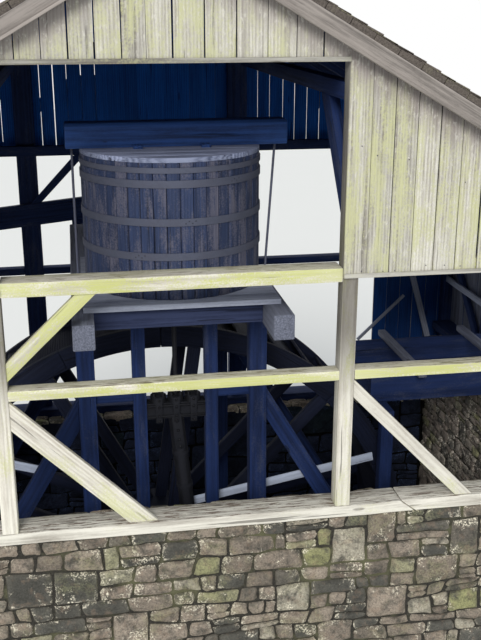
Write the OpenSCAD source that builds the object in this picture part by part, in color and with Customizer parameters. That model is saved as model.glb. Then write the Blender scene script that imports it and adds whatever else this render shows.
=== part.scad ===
/* [House frame] */
// Distance between the centres of neighbouring front posts
bay_w = 3135; // [2800:5:3500]
// Depth of the house over the front and rear frames
house_d = 5500; // [5300:10:6200]
// Width of a main post
post_w = 145; // [120:5:180]
// Depth of a main post
post_d = 160; // [140:5:180]
// Width of an inner post of the rear frame
rear_post_w = 260; // [200:10:280]
// Distance from the middle of the house to the centre of an inner rear post
rear_post_x = 1450; // [1400:10:1500]
// Depth from front to back of a wall sill
sill_d = 290; // [240:5:320]
// Height of a wall sill
sill_h = 120; // [100:5:160]
// Height of the plates and of the low siding's foot above the front sill
eave_h = 2290; // [2250:5:2500]
// Height of the tall opening above the front sill
opening_h = 4160; // [4100:5:4200]
// Height of the girt that crosses the tall opening, above the front sill
girt_z = 2250; // [2100:5:2260]
// Height of the girt timber itself
girt_h = 130; // [100:5:150]
// Depth of the girt from front to back
girt_d = 240; // [160:5:280]
// Height of the middle rail above the front sill
rail_z = 1305; // [1100:5:1500]
// Height of the middle rail timber itself
rail_h = 95; // [80:5:120]
// Drop of the rear frame's middle rail below the front one
rear_rail_drop = 300; // [200:10:400]
// Height of a plate under the rafters
plate_h = 200; // [160:5:240]
// Depth of the notch that seats a rafter on its plate
plate_seat = 40; // [20:5:60]
// Height of the header over the tall opening
header_h = 160; // [120:5:180]
// Thickness of the headers from front to back
header_t = 100; // [80:5:120]
// Height of the rear header above the front sill
rear_header_z = 2680; // [2600:10:2760]
// Distance from the ends of the rear header to the roof line
header_clear = 200; // [100:10:300]
// Distance between the two posts in the middle of a side wall
side_post_gap = 2200; // [2000:10:2400]
// Height of the two beams that tie the front and rear frames, above the front sill
tie_z = 3830; // [3700:10:3900]
// Height of such a beam itself
tie_h = 150; // [120:5:180]

/* [Braces] */
// Width of a slender brace across its length
brace_w = 125; // [90:5:150]
// Width of the broad brace at the left of the opening
broad_brace_w = 190; // [140:5:220]
// Thickness of all braces from front to back
brace_t = 60; // [40:5:80]
// Distance from the frame's outer face to its braces
brace_inset = 20; // [10:5:40]
// Level run of the braces in the outer front bays
low_brace_run = 1170; // [1000:10:1300]
// Drop of their heads below the middle rail
low_brace_drop = 100; // [80:10:200]
// Level run of the broad brace
broad_brace_run = 1150; // [1000:10:1300]
// Drop of the broad brace's head below the middle rail
broad_brace_drop = 150; // [120:10:250]
// Level run of the brace between the middle rail and the girt
high_brace_run = 720; // [600:10:800]
// Height of that brace's foot above the middle rail
high_brace_lift = 160; // [120:10:220]
// Distance from the foot of a side wall's brace to the side post
side_brace_gap = 300; // [200:10:400]
// Drop of the head of a side wall's brace below the middle rail
side_brace_drop = 130; // [100:10:200]
// Width of the knee brace behind the right post of the opening
knee_w = 220; // [160:10:240]
// Thickness of the knee brace
knee_t = 100; // [70:5:120]
// Level run of the knee brace
knee_run = 650; // [550:10:750]
// Drop of its foot below the tie beam
knee_drop = 820; // [700:10:900]

/* [Rear tie beam] */
// Height of the sloping beam in the rear frame
slope_beam_h = 300; // [240:10:320]
// Slope of that beam in degrees, down to the left
slope_beam_pitch = 5.6; // [3:0.1:6]
// Height of its centre above the front sill, at its right end
slope_beam_z = 1957; // [1900:5:2000]
// Distance from the middle of the house to its right end
slope_beam_x = 620; // [560:10:680]
// Width of the prop under it
prop_w = 190; // [140:10:220]
// Distance from the middle of the house to the prop's centre
prop_x = 795; // [760:5:830]
// Level run of the brace between this beam and the rear header
rear_brace_run = 624; // [500:4:700]
// Distance from the middle of the house to the head of that brace
rear_brace_x = 730; // [700:10:800]
// Width of that brace, measured level
rear_brace_w = 140; // [100:10:160]

/* [Roof and siding] */
// Slope of the roof in degrees
roof_pitch = 30; // [26:0.5:32]
// Rise of the rafters' lower edge above the siding's foot, at the outer face of the side walls
heel_rise = 60; // [30:5:100]
// Depth of a rafter, square to the slope
rafter_d = 150; // [120:5:180]
// Thickness of a rafter
rafter_t = 60; // [45:5:80]
// Number of rafter pairs
rafter_n = 7; // [5:1:9]
// Distance from a rafter's end to the edge of the roof
tail_inset = 20; // [10:5:40]
// Thickness of the ridge board
ridge_t = 60; // [40:5:80]
// Height of the ridge board
ridge_h = 230; // [180:10:260]
// Thickness of roof boards and shingles together
roof_t = 55; // [40:5:80]
// Length of roof beyond the side walls, measured level
eave_over = 300; // [150:10:500]
// Length of roof beyond the gable frames
gable_over = 180; // [120:5:300]
// Thickness of a rake board
rake_t = 35; // [25:5:50]
// Thickness of the siding boards
siding_t = 25; // [18:1:35]
// Height of the drip boards along the siding's foot
drip_h = 40; // [30:5:60]
// Thickness of the drip boards
drip_t = 18; // [12:1:25]
// Width of the boarded part of the rear wall beside the corner
rear_board_w = 1200; // [900:10:1500]

/* [Stone walls] */
// Thickness of the stone walls
wall_t = 500; // [420:10:520]
// Drop of the rear sill below the front sill
rear_drop = 1000; // [600:10:1200]
// Clearance between the wheel and the ground of the pit
pit_clear = 350; // [250:10:450]
// Height of the bearing walls beside the wheel
bench_h = 2350; // [2000:10:2400]
// Clearance between the bearing walls and the wheel
bench_gap = 200; // [120:10:250]
// Width of the tail race arch
race_w = 1300; // [1000:10:1400]
// Height of the tail race arch at its crown
race_h = 1700; // [1300:10:2000]

/* [Water wheel] */
// Outer radius of the wheel
wheel_r = 3050; // [2850:10:3080]
// Width of the wheel over its shrouds
wheel_w = 1200; // [1100:10:1240]
// Distance from the front of the house to the near face of the wheel
wheel_y = 2450; // [2420:10:2500]
// Drop of the shaft centre below the front sill
hub_drop = 1950; // [1900:10:2050]
// Shift of the shaft to the left of the blowing tub's centre
hub_shift = 65; // [0:5:120]
// Radial depth of the shrouds
shroud_d = 245; // [200:5:300]
// Thickness of a shroud
shroud_t = 80; // [60:5:100]
// Thickness of the sole boards
sole_t = 35; // [25:1:45]
// Number of buckets
bucket_n = 40; // [32:1:44]
// Thickness of a bucket board
bucket_t = 28; // [20:1:35]
// Depth of a bucket's floor board from the sole outwards
bucket_floor = 85; // [60:1:110]
// Angle that a bucket's face board spans, in degrees
bucket_lap = 9.5; // [7:0.5:12]
// Distance of the face boards' lips inside the shrouds' rim
lip_inset = 10; // [5:1:20]
// Number of arms on each side
arm_n = 10; // [6:1:12]
// Width of an arm in the plane of the wheel
arm_w = 150; // [110:5:170]
// Angle of the first arm in degrees
arm_turn = 10; // [0:1:35]

/* [Shaft and crank] */
// Diameter of the timber shaft
shaft_w = 560; // [480:10:640]
// Distance from the timber shaft's ends to the bearing walls
shaft_inset = 30; // [15:5:60]
// Diameter of the iron journals
journal_d = 140; // [110:5:160]
// Radial clearance of a journal in its bearing
journal_gap = 0.3; // [0.2:0.05:0.5]
// Width of a bearing block
block_w = 520; // [420:10:560]
// Depth of a bearing block along the shaft
block_d = 220; // [160:10:260]
// Distance from a bearing block to the edge of its wall
block_inset = 20; // [10:5:40]
// Throw of the crank
crank_r = 450; // [380:5:500]
// Angle of the crank in degrees
crank_turn = -45; // [-60:1:-30]
// Thickness of the crank
crank_t = 150; // [120:5:160]
// Distance from the middle of the connecting rod to the near face of the crank
crank_gap = 170; // [160:5:200]
// Diameter of the crank's hub
crank_hub_d = 300; // [240:10:340]
// Diameter of the crank's eye from outside
crank_eye_d = 200; // [160:10:240]
// Width of the crank's web
crank_web_w = 160; // [120:5:200]
// Diameter of the crank pin
pin_d = 70; // [55:1:80]
// Distance that the crank pin stops short of the crank
pin_stop = 10; // [8:1:15]

/* [Blowing tub] */
// Shift of the tub's centre to the right of the middle of the house
tub_shift = 125; // [0:5:150]
// Distance from the front of the house to the tub's centre
tub_y = 1550; // [1520:5:1600]
// Outer diameter of the tub
tub_d = 1770; // [1600:10:1780]
// Height of the staves
tub_h = 1295; // [1100:5:1320]
// Thickness of a stave
stave_t = 60; // [45:1:70]
// Number of staves
stave_n = 44; // [36:1:52]
// Width of the open joint between two staves
stave_joint_w = 8; // [4:1:10]
// Depth of the open joint between two staves
stave_joint_d = 6; // [3:1:10]
// Thickness of the lid
lid_t = 45; // [30:1:60]
// Height of the top of the platform above the front sill
platform_z = 1955; // [1900:5:2000]
// Distance from the tub's centre to a side edge of the platform
platform_half = 930; // [900:5:960]
// Length of platform in front of the tub
platform_front = 115; // [80:5:140]
// Length of platform behind the tub
platform_back = 60; // [20:5:100]
// Thickness of the platform planks
plank_t = 50; // [40:1:60]
// Height of the wide hoops
hoop_h = 70; // [50:1:80]
// Height of the narrow hoop at the rim
rim_hoop_h = 50; // [40:1:60]
// Thickness of the hoops
hoop_t = 10; // [6:1:14]
// Height of the lowest hoop's centre above the platform
low_hoop_z = 420; // [350:5:450]
// Distance from the lowest hoop to the next one
hoop_step = 325; // [280:5:350]
// Drop of the third hoop's centre below the lid
high_hoop_drop = 195; // [160:5:220]
// Drop of the rim hoop's centre below the lid
rim_hoop_drop = 70; // [50:5:90]
// Length of the beam on top of the lid
top_beam_w = 2180; // [2000:10:2300]
// Shift of that beam to the right of the tub's centre
top_beam_shift = 70; // [0:5:100]
// Depth of that beam from front to back
top_beam_d = 280; // [220:5:320]
// Height of that beam
top_beam_h = 240; // [200:5:280]
// Size of its worn edges
top_beam_wear = 30; // [15:1:40]
// Width of a cleat on the lid
cleat_w = 90; // [60:5:120]
// Length of a cleat in front of the top beam
cleat_d = 130; // [90:5:180]
// Thickness of a cleat
cleat_t = 30; // [20:1:40]
// Distance from the tub's centre to a cleat's centre
cleat_x = 330; // [250:10:400]
// Diameter of the tie rods
tie_rod_d = 25; // [20:1:32]
// Distance from the tub to the foot of a tie rod
tie_rod_gap = 75; // [50:5:90]
// Lean of the right tie rod in degrees
tie_rod_lean = 4; // [0:0.5:5]

/* [Tub frame] */
// Shift of the tub frame to the left of the tub's centre
frame_shift = 25; // [0:5:50]
// Width of the two long beams under the platform
bearer_w = 200; // [160:5:220]
// Height of the two long beams under the platform
bearer_h = 245; // [200:5:260]
// Distance between the centres of the two long beams
bearer_gap = 1830; // [1800:5:1900]
// Distance from the front of the house to the near ends of the long beams
bearer_y = 200; // [180:5:300]
// Length of the long beams beyond the rear posts
bearer_over = 115; // [80:5:150]
// Height of the cross beams between the long beams
cross_beam_h = 230; // [180:5:240]
// Depth of a cross beam from front to back
cross_beam_d = 150; // [120:5:180]
// Distance from the platform's front edge back to the first cross beam
cross_inset = 170; // [120:10:220]
// Width of a tub frame post
leg_w = 185; // [150:5:200]
// Height of the sills under the tub frame posts
leg_sill_h = 180; // [150:5:200]
// Distance from the tub's centre to the outer ends of those sills
leg_sill_w = 3300; // [3200:10:3500]
// Distance from the far bearing wall's edge to the rear posts
rear_leg_inset = 300; // [200:10:400]
// Width of a tub frame brace
leg_brace_w = 180; // [140:5:200]
// Thickness of a tub frame brace
leg_brace_t = 120; // [90:5:150]
// Height of the head of a tub frame brace above the front sill
leg_brace_z = 480; // [400:10:560]
// Level run of a tub frame brace
leg_brace_run = 1950; // [1800:10:2050]
// Width of a guide post
guide_w = 140; // [110:5:160]
// Distance between the centres of the guide posts
guide_gap = 765; // [740:5:800]
// Length of the guide posts below the front sill
guide_drop = 700; // [600:10:800]
// Height of the level guide rails above the front sill
guide_rail_z = 600; // [560:10:660]
// Height of a guide rail itself
guide_rail_h = 150; // [120:5:180]
// Thickness of a guide rail from front to back
guide_rail_t = 100; // [80:5:120]

/* [Piston and connecting rod] */
// Diameter of the piston rod
piston_rod_d = 50; // [40:1:60]
// Height of the crosshead's centre above the front sill
crosshead_z = 480; // [300:5:600]
// Height of the crosshead
crosshead_h = 180; // [140:5:220]
// Depth of the crosshead from front to back
crosshead_d = 140; // [100:5:160]
// Diameter of the bosses on the crosshead
boss_d = 170; // [150:5:190]
// Height of a boss over the crosshead
boss_h = 70; // [50:5:100]
// Distance from the piston rod to a side boss
boss_x = 185; // [175:5:200]
// Diameter of the wooden connecting rod
pitman_d = 165; // [130:5:180]
// Diameter of the connecting rod's big end
big_end_d = 240; // [200:5:260]
// Depth of the big end along the crank pin
big_end_w = 150; // [120:5:180]
// Number of iron straps round the connecting rod
strap_n = 5; // [3:1:7]
// Height of a strap along the rod
strap_h = 45; // [30:5:60]
// Thickness of a strap
strap_t = 8; // [5:1:12]

/* [Flume] */
// Height of the flume's rim above the front sill
flume_z = 350; // [300:5:400]
// Thickness of the flume's boards
flume_t = 45; // [35:1:60]
// Clearance between the flume's end and the wheel
flume_gap = 180; // [120:5:300]
// Width of a tie across the flume
flume_tie_w = 100; // [80:5:120]
// Height of a tie across the flume
flume_tie_h = 75; // [60:5:90]
// Length of a tie beyond the flume's side
flume_tie_over = 165; // [120:5:200]
// Distance from the flume's open end to the first tie
flume_tie_x = 540; // [450:10:600]
// Distance between the two ties
flume_tie_gap = 1120; // [1000:10:1200]
// Distance from the flume's open end to its trestle
trestle_inset = 60; // [40:5:120]
// Width of a trestle timber
trestle_w = 150; // [120:5:180]

/* [Planks in the pit] */
// Width of the two planks nailed behind the front posts of the tub frame
pit_plank_w = 95; // [80:5:120]
// Thickness of these planks
pit_plank_t = 25; // [20:1:35]
// Length of the right plank
right_plank_l = 2200; // [2000:10:2300]
// Slope of the right plank in degrees
right_plank_pitch = 10.4; // [8:0.2:12]
// Distance from the tub's centre to the right plank's foot
right_plank_x = 115; // [100:5:150]
// Drop of the right plank's foot below the front sill
right_plank_drop = 730; // [700:5:760]
// Length of the left plank
left_plank_l = 760; // [700:10:850]
// Slope of the left plank in degrees
left_plank_pitch = 17.5; // [15:0.5:20]
// Distance from the tub's centre to the left plank's foot
left_plank_x = 1390; // [1370:5:1410]
// Drop of the left plank's foot below the front sill
left_plank_drop = 225; // [200:5:250]

/* [Hidden] */
$fn = 96;

// Gap between pieces that rest against each other on a slope or on a curve
seat_gap = 0.3;

// Levels
hub_z = pit_clear + wheel_r;
sill_z = hub_z + hub_drop;
rear_sill_z = sill_z - rear_drop;
eave_z = sill_z + eave_h;
opening_z = sill_z + opening_h;
rail_foot_z = sill_z + rail_z;
rear_header_foot_z = sill_z + rear_header_z;

// Plan of the house
front_y = -house_d / 2;
rear_y = house_d / 2;
post_x = bay_w / 2;
corner_x = bay_w * 3 / 2;
half_w = corner_x + post_w / 2;
inner_x = half_w - wall_t;
half_opening = post_x - post_w / 2;
corner_face_x = corner_x - post_w / 2;
// Inner face of the side rails, clear of the ends of the front rails
side_rail_x = corner_face_x + post_w / 8;

// Roof
heel_z = eave_z + heel_rise;
slope = tan(roof_pitch);
rafter_rise = rafter_d / cos(roof_pitch);
roof_rise = roof_t / cos(roof_pitch);
plate_z = heel_z + plate_seat - plate_h;
edge_x = half_w + eave_over;

// Machine
machine_x = tub_shift;
machine_y = front_y + tub_y;
frame_x = machine_x - frame_shift;
hub_x = machine_x - hub_shift;
wheel_y0 = front_y + wheel_y;
wheel_y1 = wheel_y0 + wheel_w;
race_y0 = wheel_y0 - bench_gap;
race_y1 = wheel_y1 + bench_gap;
near_bench_y = front_y + wall_t;
platform_top = sill_z + platform_z;
bearer_top = platform_top - plank_t;
bearer_z = bearer_top - bearer_h;
tub_r = tub_d / 2;
lid_z = platform_top + tub_h;
leg_y0 = machine_y - leg_w / 2;
leg_y1 = machine_y + leg_w / 2;
rear_leg_y = race_y1 + rear_leg_inset;
leg_x = bearer_gap / 2;
leg_foot_z = bench_h + leg_sill_h;

// Crank and connecting rod
crank_y = machine_y + crank_gap;
pin_x = hub_x + crank_r * cos(crank_turn);
pin_z = hub_z + crank_r * sin(crank_turn);
pitman_top = sill_z + crosshead_z - crosshead_h / 2;
pitman_dx = pin_x - machine_x;
pitman_dz = pin_z - pitman_top;
pitman_lean = atan2(pitman_dx, -pitman_dz);
pitman_start = seat_gap + pitman_d / 2 * tan(pitman_lean);
pitman_l = sqrt(pitman_dx * pitman_dx + pitman_dz * pitman_dz);

// Flume
flume_floor = sill_z + flume_t;
flume_x = hub_x + sqrt(wheel_r * wheel_r - hub_drop * hub_drop) + flume_gap;

// Wheel
sole_r = wheel_r - shroud_d + sole_t;
arm_reach = sqrt(pow(wheel_r - shroud_d, 2) - arm_w * arm_w / 4) - shaft_w / 2 - 2 * seat_gap;

// Lower edge of the rafters at a distance x from the ridge line
function roof_z(x) = heel_z + (half_w - abs(x)) * slope;

// Centre line of the sloping beam in the rear frame
function slope_beam_mid(x) = sill_z + slope_beam_z + (x + slope_beam_x) * tan(slope_beam_pitch);

// Box between two corners
module bar(from, to) {
  translate(from) cube(to - from);
}

// Outline in the x-z plane given a thickness from y0 to y1
module upright(points, y0, y1) {
  translate([0, y1, 0]) rotate([90, 0, 0]) linear_extrude(y1 - y0) polygon(points);
}

// Brace in the x-z plane from the side of a post down or up to a level timber
module strut(post_face, post_level, foot_x, foot_z, width, y0, y1) {
  run = foot_x - post_face;
  rise = foot_z - post_level;
  len = sqrt(run * run + rise * rise);
  half_v = width * len / abs(run) / 2;
  half_h = width * len / rise / 2 * sign(run);
  upright([
    [post_face, post_level + half_v], [post_face, post_level - half_v],
    [foot_x + half_h, foot_z], [foot_x - half_h, foot_z]
  ], y0, y1);
}

module both_sides() {
  children();
  mirror([1, 0, 0]) children();
}

// Stone walls

module front_stone_wall() color("dimgray")
  bar([-half_w, front_y, 0], [half_w, front_y + wall_t, sill_z - sill_h]);

module rear_stone_wall() color("dimgray")
  bar([-half_w, rear_y - wall_t, 0], [half_w, rear_y, rear_sill_z - sill_h]);

module right_stone_wall() color("dimgray")
  bar([inner_x, front_y + wall_t, 0], [half_w, rear_y - wall_t, sill_z - sill_h]);

module left_stone_wall() color("dimgray")
  difference() {
    mirror([1, 0, 0]) bar([inner_x, front_y + wall_t, 0], [half_w, rear_y - wall_t, sill_z - sill_h]);
    translate([-half_w - 1, (race_y0 + race_y1) / 2, 0]) {
      bar([0, -race_w / 2, -1], [wall_t + 2, race_w / 2, race_h - race_w / 2]);
      translate([0, 0, race_h - race_w / 2]) rotate([0, 90, 0]) cylinder(d = race_w, h = wall_t + 2);
    }
  }

module bearing_walls() color("dimgray") {
  bar([-inner_x, near_bench_y, 0], [inner_x, race_y0, bench_h]);
  bar([-inner_x, race_y1, 0], [inner_x, rear_y - wall_t, bench_h]);
}

// Wall timbers

module front_sill() color("darkkhaki")
  bar([-half_w, front_y, sill_z - sill_h], [half_w, front_y + sill_d, sill_z]);

module side_sills() color("darkkhaki")
  both_sides() bar([half_w - sill_d, front_y + sill_d, sill_z - sill_h], [half_w, rear_y - post_d, sill_z]);

module rear_sill() color("dimgray")
  bar([-half_w, rear_y - sill_d, rear_sill_z - sill_h], [half_w, rear_y, rear_sill_z]);

module posts() color("tan")
  both_sides() {
    bar([half_opening, front_y, sill_z], [half_opening + post_w, front_y + post_d, opening_z]);
    bar([corner_face_x, front_y, sill_z], [half_w, front_y + post_d, plate_z]);
    bar([rear_post_x - rear_post_w / 2, rear_y - post_d, rear_sill_z],
        [rear_post_x + rear_post_w / 2, rear_y, opening_z]);
    bar([corner_face_x, rear_y - post_d, rear_sill_z], [half_w, rear_y, plate_z]);
    for (y = [-side_post_gap / 2, side_post_gap / 2])
      bar([half_w - post_d, y - post_w / 2, sill_z], [half_w, y + post_w / 2, plate_z]);
  }

module front_girt() color("olive") {
  girt_foot = sill_z + girt_z;
  bar([-half_opening, front_y, girt_foot], [half_opening, front_y + girt_d, girt_foot + girt_h]);
  both_sides()
    bar([half_opening + post_w, front_y, eave_z], [corner_face_x, front_y + post_d, eave_z + girt_h]);
}

module middle_rails() color("olive") {
  z = rail_foot_z;
  y = side_post_gap / 2;
  half_post = post_w / 2;
  bar([-half_opening, front_y, z], [half_opening, front_y + post_d, z + rail_h]);
  both_sides() {
    bar([half_opening + post_w, front_y, z], [corner_face_x, front_y + post_d, z + rail_h]);
    bar([side_rail_x, front_y + post_d, z], [half_w, -y - half_post, z + rail_h]);
    bar([side_rail_x, half_post - y, z], [half_w, y - half_post, z + rail_h]);
    bar([side_rail_x, y + half_post, z], [half_w, rear_y - post_d, z + rail_h]);
    rear_middle_rail(rear_post_x + rear_post_w / 2, corner_face_x);
  }
  rear_middle_rail(rear_post_w / 2 - rear_post_x, rear_post_x - rear_post_w / 2);
}

module rear_middle_rail(x0, x1) {
  z = rail_foot_z - rear_rail_drop;
  bar([x0, rear_y - post_d, z], [x1, rear_y, z + rail_h]);
}

module headers() color("dimgray") {
  front_back = front_y + rafter_t + header_t;
  rear_front = rear_y - post_d - header_t;
  rear_top = rear_header_foot_z + girt_h;
  rear_half = half_w - (rear_top - heel_z) / slope - header_clear;
  bar([-half_opening - post_w, front_back - header_t, opening_z],
      [half_opening + post_w, front_back, opening_z + header_h]);
  bar([-rear_half, rear_front, rear_header_foot_z], [rear_half, rear_front + header_t, rear_top]);
}

module side_plates() color("dimgray")
  both_sides() bar([half_w - post_w, front_y, plate_z], [half_w, rear_y, plate_z + plate_h]);

// Beams along the house between the front posts of the opening and the rear frame
module tie_beams() color("dimgray")
  both_sides()
    bar([half_opening, front_y + post_d, sill_z + tie_z],
        [half_opening + post_w, rear_y - post_d, sill_z + tie_z + tie_h]);

module slope_beam() color("dimgray") {
  left = brace_inset - corner_face_x;
  half_h = slope_beam_h / 2;
  upright([
    [left, slope_beam_mid(left) - half_h], [-slope_beam_x, slope_beam_mid(-slope_beam_x) - half_h],
    [-slope_beam_x, slope_beam_mid(-slope_beam_x) + half_h], [left, slope_beam_mid(left) + half_h]
  ], rear_y - post_d - header_t, rear_y - post_d);
}

// Prop under the sloping beam, and brace from its top up to the rear header
module slope_beam_props() color("dimgray") {
  y1 = rear_y - post_d;
  y0 = y1 - header_t;
  low = slope_beam_h / 2 + seat_gap;
  left = -prop_x - prop_w / 2;
  right = -prop_x + prop_w / 2;
  head = -rear_brace_x - rear_brace_w / 2;
  foot = head - rear_brace_run;
  upright([
    [left, rear_sill_z], [right, rear_sill_z],
    [right, slope_beam_mid(right) - low], [left, slope_beam_mid(left) - low]
  ], y0, y1);
  upright([
    [foot, slope_beam_mid(foot) + low], [foot + rear_brace_w, slope_beam_mid(foot + rear_brace_w) + low],
    [head + rear_brace_w, rear_header_foot_z], [head, rear_header_foot_z]
  ], y0 + brace_inset, y0 + brace_inset + brace_t);
}

module wall_braces() color("tan") {
  y0 = front_y + brace_inset;
  y1 = y0 + brace_t;
  strut(-half_opening, rail_foot_z + rail_h + high_brace_lift,
        -half_opening + high_brace_run, sill_z + girt_z, brace_w, y0, y1);
  strut(-half_opening, rail_foot_z - broad_brace_drop,
        -half_opening + broad_brace_run, sill_z, broad_brace_w, y0, y1);
  both_sides() {
    strut(half_opening + post_w, rail_foot_z - low_brace_drop,
          half_opening + post_w + low_brace_run, sill_z, brace_w, y0, y1);
    side_braces();
  }
  knee_brace();
}

// Braces in the y-z plane of a side wall
module side_braces()
  for (side = [-1, 1])
    translate([half_w - brace_inset, 0, 0]) rotate([0, 0, 90])
      strut(side * (house_d / 2 - post_d), rail_foot_z - side_brace_drop,
            side * (side_post_gap / 2 + side_brace_gap), sill_z, brace_w, 0, brace_t);

// Brace from the right post of the opening up to the tie beam behind it
module knee_brace()
  rotate([0, 0, 90])
    strut(front_y + post_d, sill_z + tie_z - knee_drop, front_y + post_d + knee_run, sill_z + tie_z,
          knee_w, -half_opening - knee_t, -half_opening);

// Siding

module gable_boards() color("khaki")
  upright([
    [-half_opening, opening_z], [half_opening, opening_z],
    [half_opening, roof_z(half_opening) + rafter_rise],
    [0, roof_z(0) + rafter_rise],
    [-half_opening, roof_z(half_opening) + rafter_rise]
  ], front_y - siding_t, front_y);

module eave_boards() color("khaki")
  both_sides() upright([
    [half_opening, eave_z], [half_w, eave_z],
    [half_w, roof_z(half_w) + rafter_rise],
    [half_opening, roof_z(half_opening) + rafter_rise]
  ], front_y - siding_t, front_y);

module drip_boards() color("khaki") {
  y = front_y - siding_t;
  bar([-half_opening, y - drip_t, opening_z], [half_opening, y, opening_z + drip_h]);
  both_sides() bar([half_opening, y - drip_t, eave_z], [half_w, y, eave_z + drip_h]);
}

// Boards of the rear gable, lower beside the corners than over the open bays
module rear_gable_boards() color("dimgray") {
  inner = half_w - rear_board_w;
  upright([
    [-half_w, eave_z], [-inner, eave_z], [-inner, rear_header_foot_z],
    [inner, rear_header_foot_z], [inner, eave_z], [half_w, eave_z],
    [half_w, roof_z(half_w) + rafter_rise],
    [0, roof_z(0) + rafter_rise],
    [-half_w, roof_z(half_w) + rafter_rise]
  ], rear_y, rear_y + siding_t);
}

// Boards at the rear corners, on the rear wall and on the rear bay of each side wall
module corner_boards() color("dimgray")
  both_sides() {
    bar([half_w - rear_board_w, rear_y, rear_sill_z], [half_w, rear_y + siding_t, eave_z]);
    bar([half_w, side_post_gap / 2, sill_z - sill_h], [half_w + siding_t, rear_y - siding_t, eave_z]);
  }

// Roof

module rafter_outline() {
  tail = edge_x - tail_inset;
  top = ridge_t / 2;
  difference() {
    polygon([
      [top, roof_z(top)], [tail, roof_z(tail)],
      [tail, roof_z(tail) + rafter_rise], [top, roof_z(top) + rafter_rise]
    ]);
    translate([half_w - post_w, plate_z]) square([post_w, plate_h]);
  }
}

module rafters() color("dimgray")
  both_sides() for (i = [0 : rafter_n - 1])
    translate([0, front_y + rafter_t + i * (house_d - rafter_t) / (rafter_n - 1), 0])
      rotate([90, 0, 0]) linear_extrude(rafter_t) rafter_outline();

module ridge_beam() color("dimgray") {
  top = roof_z(ridge_t / 2) + rafter_rise;
  bar([-ridge_t / 2, front_y, top - ridge_h], [ridge_t / 2, rear_y, top]);
}

module roof_slope() {
  low = roof_z(edge_x) + rafter_rise + seat_gap;
  high = roof_z(0) + rafter_rise + seat_gap;
  upright([[0, high], [edge_x, low], [edge_x, low + roof_rise], [0, high + roof_rise]],
          front_y - gable_over, rear_y + gable_over);
}

module roof_right() color("slategray") roof_slope();

module roof_left() color("slategray") mirror([1, 0, 0]) roof_slope();

module rake_boards() color("gray")
  both_sides() for (y = [front_y - gable_over, rear_y + gable_over - rake_t]) {
    low = roof_z(edge_x);
    high = roof_z(seat_gap);
    upright([[seat_gap, high], [edge_x, low], [edge_x, low + rafter_rise], [seat_gap, high + rafter_rise]],
            y, y + rake_t);
  }

// Tub frame

module tub_bearers() color("gray")
  for (x = [frame_x - leg_x, frame_x + leg_x])
    bar([x - bearer_w / 2, front_y + bearer_y, bearer_z],
        [x + bearer_w / 2, rear_leg_y + leg_w + bearer_over, bearer_top]);

module tub_cross_beams() color("gray") {
  half = leg_x - bearer_w / 2;
  first = machine_y - tub_r - platform_front + cross_inset;
  last = machine_y + tub_r + platform_back - cross_beam_d;
  for (y = [first, machine_y - cross_beam_d / 2, last])
    bar([frame_x - half, y, bearer_top - cross_beam_h], [frame_x + half, y + cross_beam_d, bearer_top]);
}

module platform() color("gray")
  bar([machine_x - platform_half, machine_y - tub_r - platform_front, bearer_top],
      [machine_x + platform_half, machine_y + tub_r + platform_back, platform_top]);

module tub_frame_legs() color("slategray")
  for (x = [frame_x - leg_x, frame_x + leg_x], y = [leg_y0, rear_leg_y])
    bar([x - leg_w / 2, y, leg_foot_z], [x + leg_w / 2, y + leg_w, bearer_z]);

// Sills under the legs, open between them where the crank turns
module tub_frame_sills() color("slategray")
  for (y = [leg_y0, rear_leg_y]) {
    inner = leg_x - leg_w / 2;
    bar([machine_x - leg_sill_w, y, bench_h], [frame_x - inner, y + leg_w, leg_foot_z]);
    bar([frame_x + inner, y, bench_h], [machine_x + leg_sill_w, y + leg_w, leg_foot_z]);
  }

module tub_frame_braces() color("slategray")
  for (side = [-1, 1], y1 = [leg_y1, rear_leg_y + leg_w]) {
    face = frame_x + side * (leg_x + leg_w / 2);
    strut(face, sill_z + leg_brace_z, face + side * leg_brace_run, leg_foot_z,
          leg_brace_w, y1 - leg_brace_t, y1);
  }

module guide_posts() color("slategray")
  for (x = [machine_x - guide_gap / 2, machine_x + guide_gap / 2])
    bar([x - guide_w / 2, machine_y - guide_w / 2, sill_z - guide_drop],
        [x + guide_w / 2, machine_y + guide_w / 2, bearer_top - cross_beam_h]);

// Level pieces that hold the guide posts to the legs
module guide_rails() color("slategray")
  for (side = [-1, 1]) {
    leg_face = frame_x + side * (leg_x - leg_w / 2);
    guide_face = machine_x + side * (guide_gap + guide_w) / 2;
    bar([min(leg_face, guide_face), machine_y - guide_rail_t / 2, sill_z + guide_rail_z],
        [max(leg_face, guide_face), machine_y + guide_rail_t / 2, sill_z + guide_rail_z + guide_rail_h]);
  }

// Plank in the x-z plane, with its foot at the origin
module plank(length) {
  upright([[0, 0], [length, 0], [length, pit_plank_w], [0, pit_plank_w]], 0, pit_plank_t);
}

module pit_planks() color("lightsteelblue") {
  translate([machine_x + right_plank_x, leg_y1, sill_z - right_plank_drop - pit_plank_w / 2])
    rotate([0, -right_plank_pitch, 0]) plank(right_plank_l);
  translate([machine_x - left_plank_x, leg_y1, sill_z - left_plank_drop - pit_plank_w / 2])
    mirror([1, 0, 0]) rotate([0, -left_plank_pitch, 0]) plank(left_plank_l);
}

// Blowing tub

module tub_staves() color("midnightblue")
  translate([machine_x, machine_y, platform_top]) difference() {
    cylinder(r = tub_r, h = tub_h);
    translate([0, 0, -1]) cylinder(r = tub_r - stave_t, h = tub_h + 2);
    for (i = [0 : stave_n - 1]) rotate(i * 360 / stave_n)
      translate([tub_r - stave_joint_d, -stave_joint_w / 2, -1]) cube([stave_t, stave_joint_w, tub_h + 2]);
  }

module hoop(level, height)
  translate([machine_x, machine_y, platform_top + level - height / 2]) difference() {
    cylinder(r = tub_r + hoop_t, h = height);
    translate([0, 0, -1]) cylinder(r = tub_r + seat_gap, h = height + 2);
  }

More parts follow.
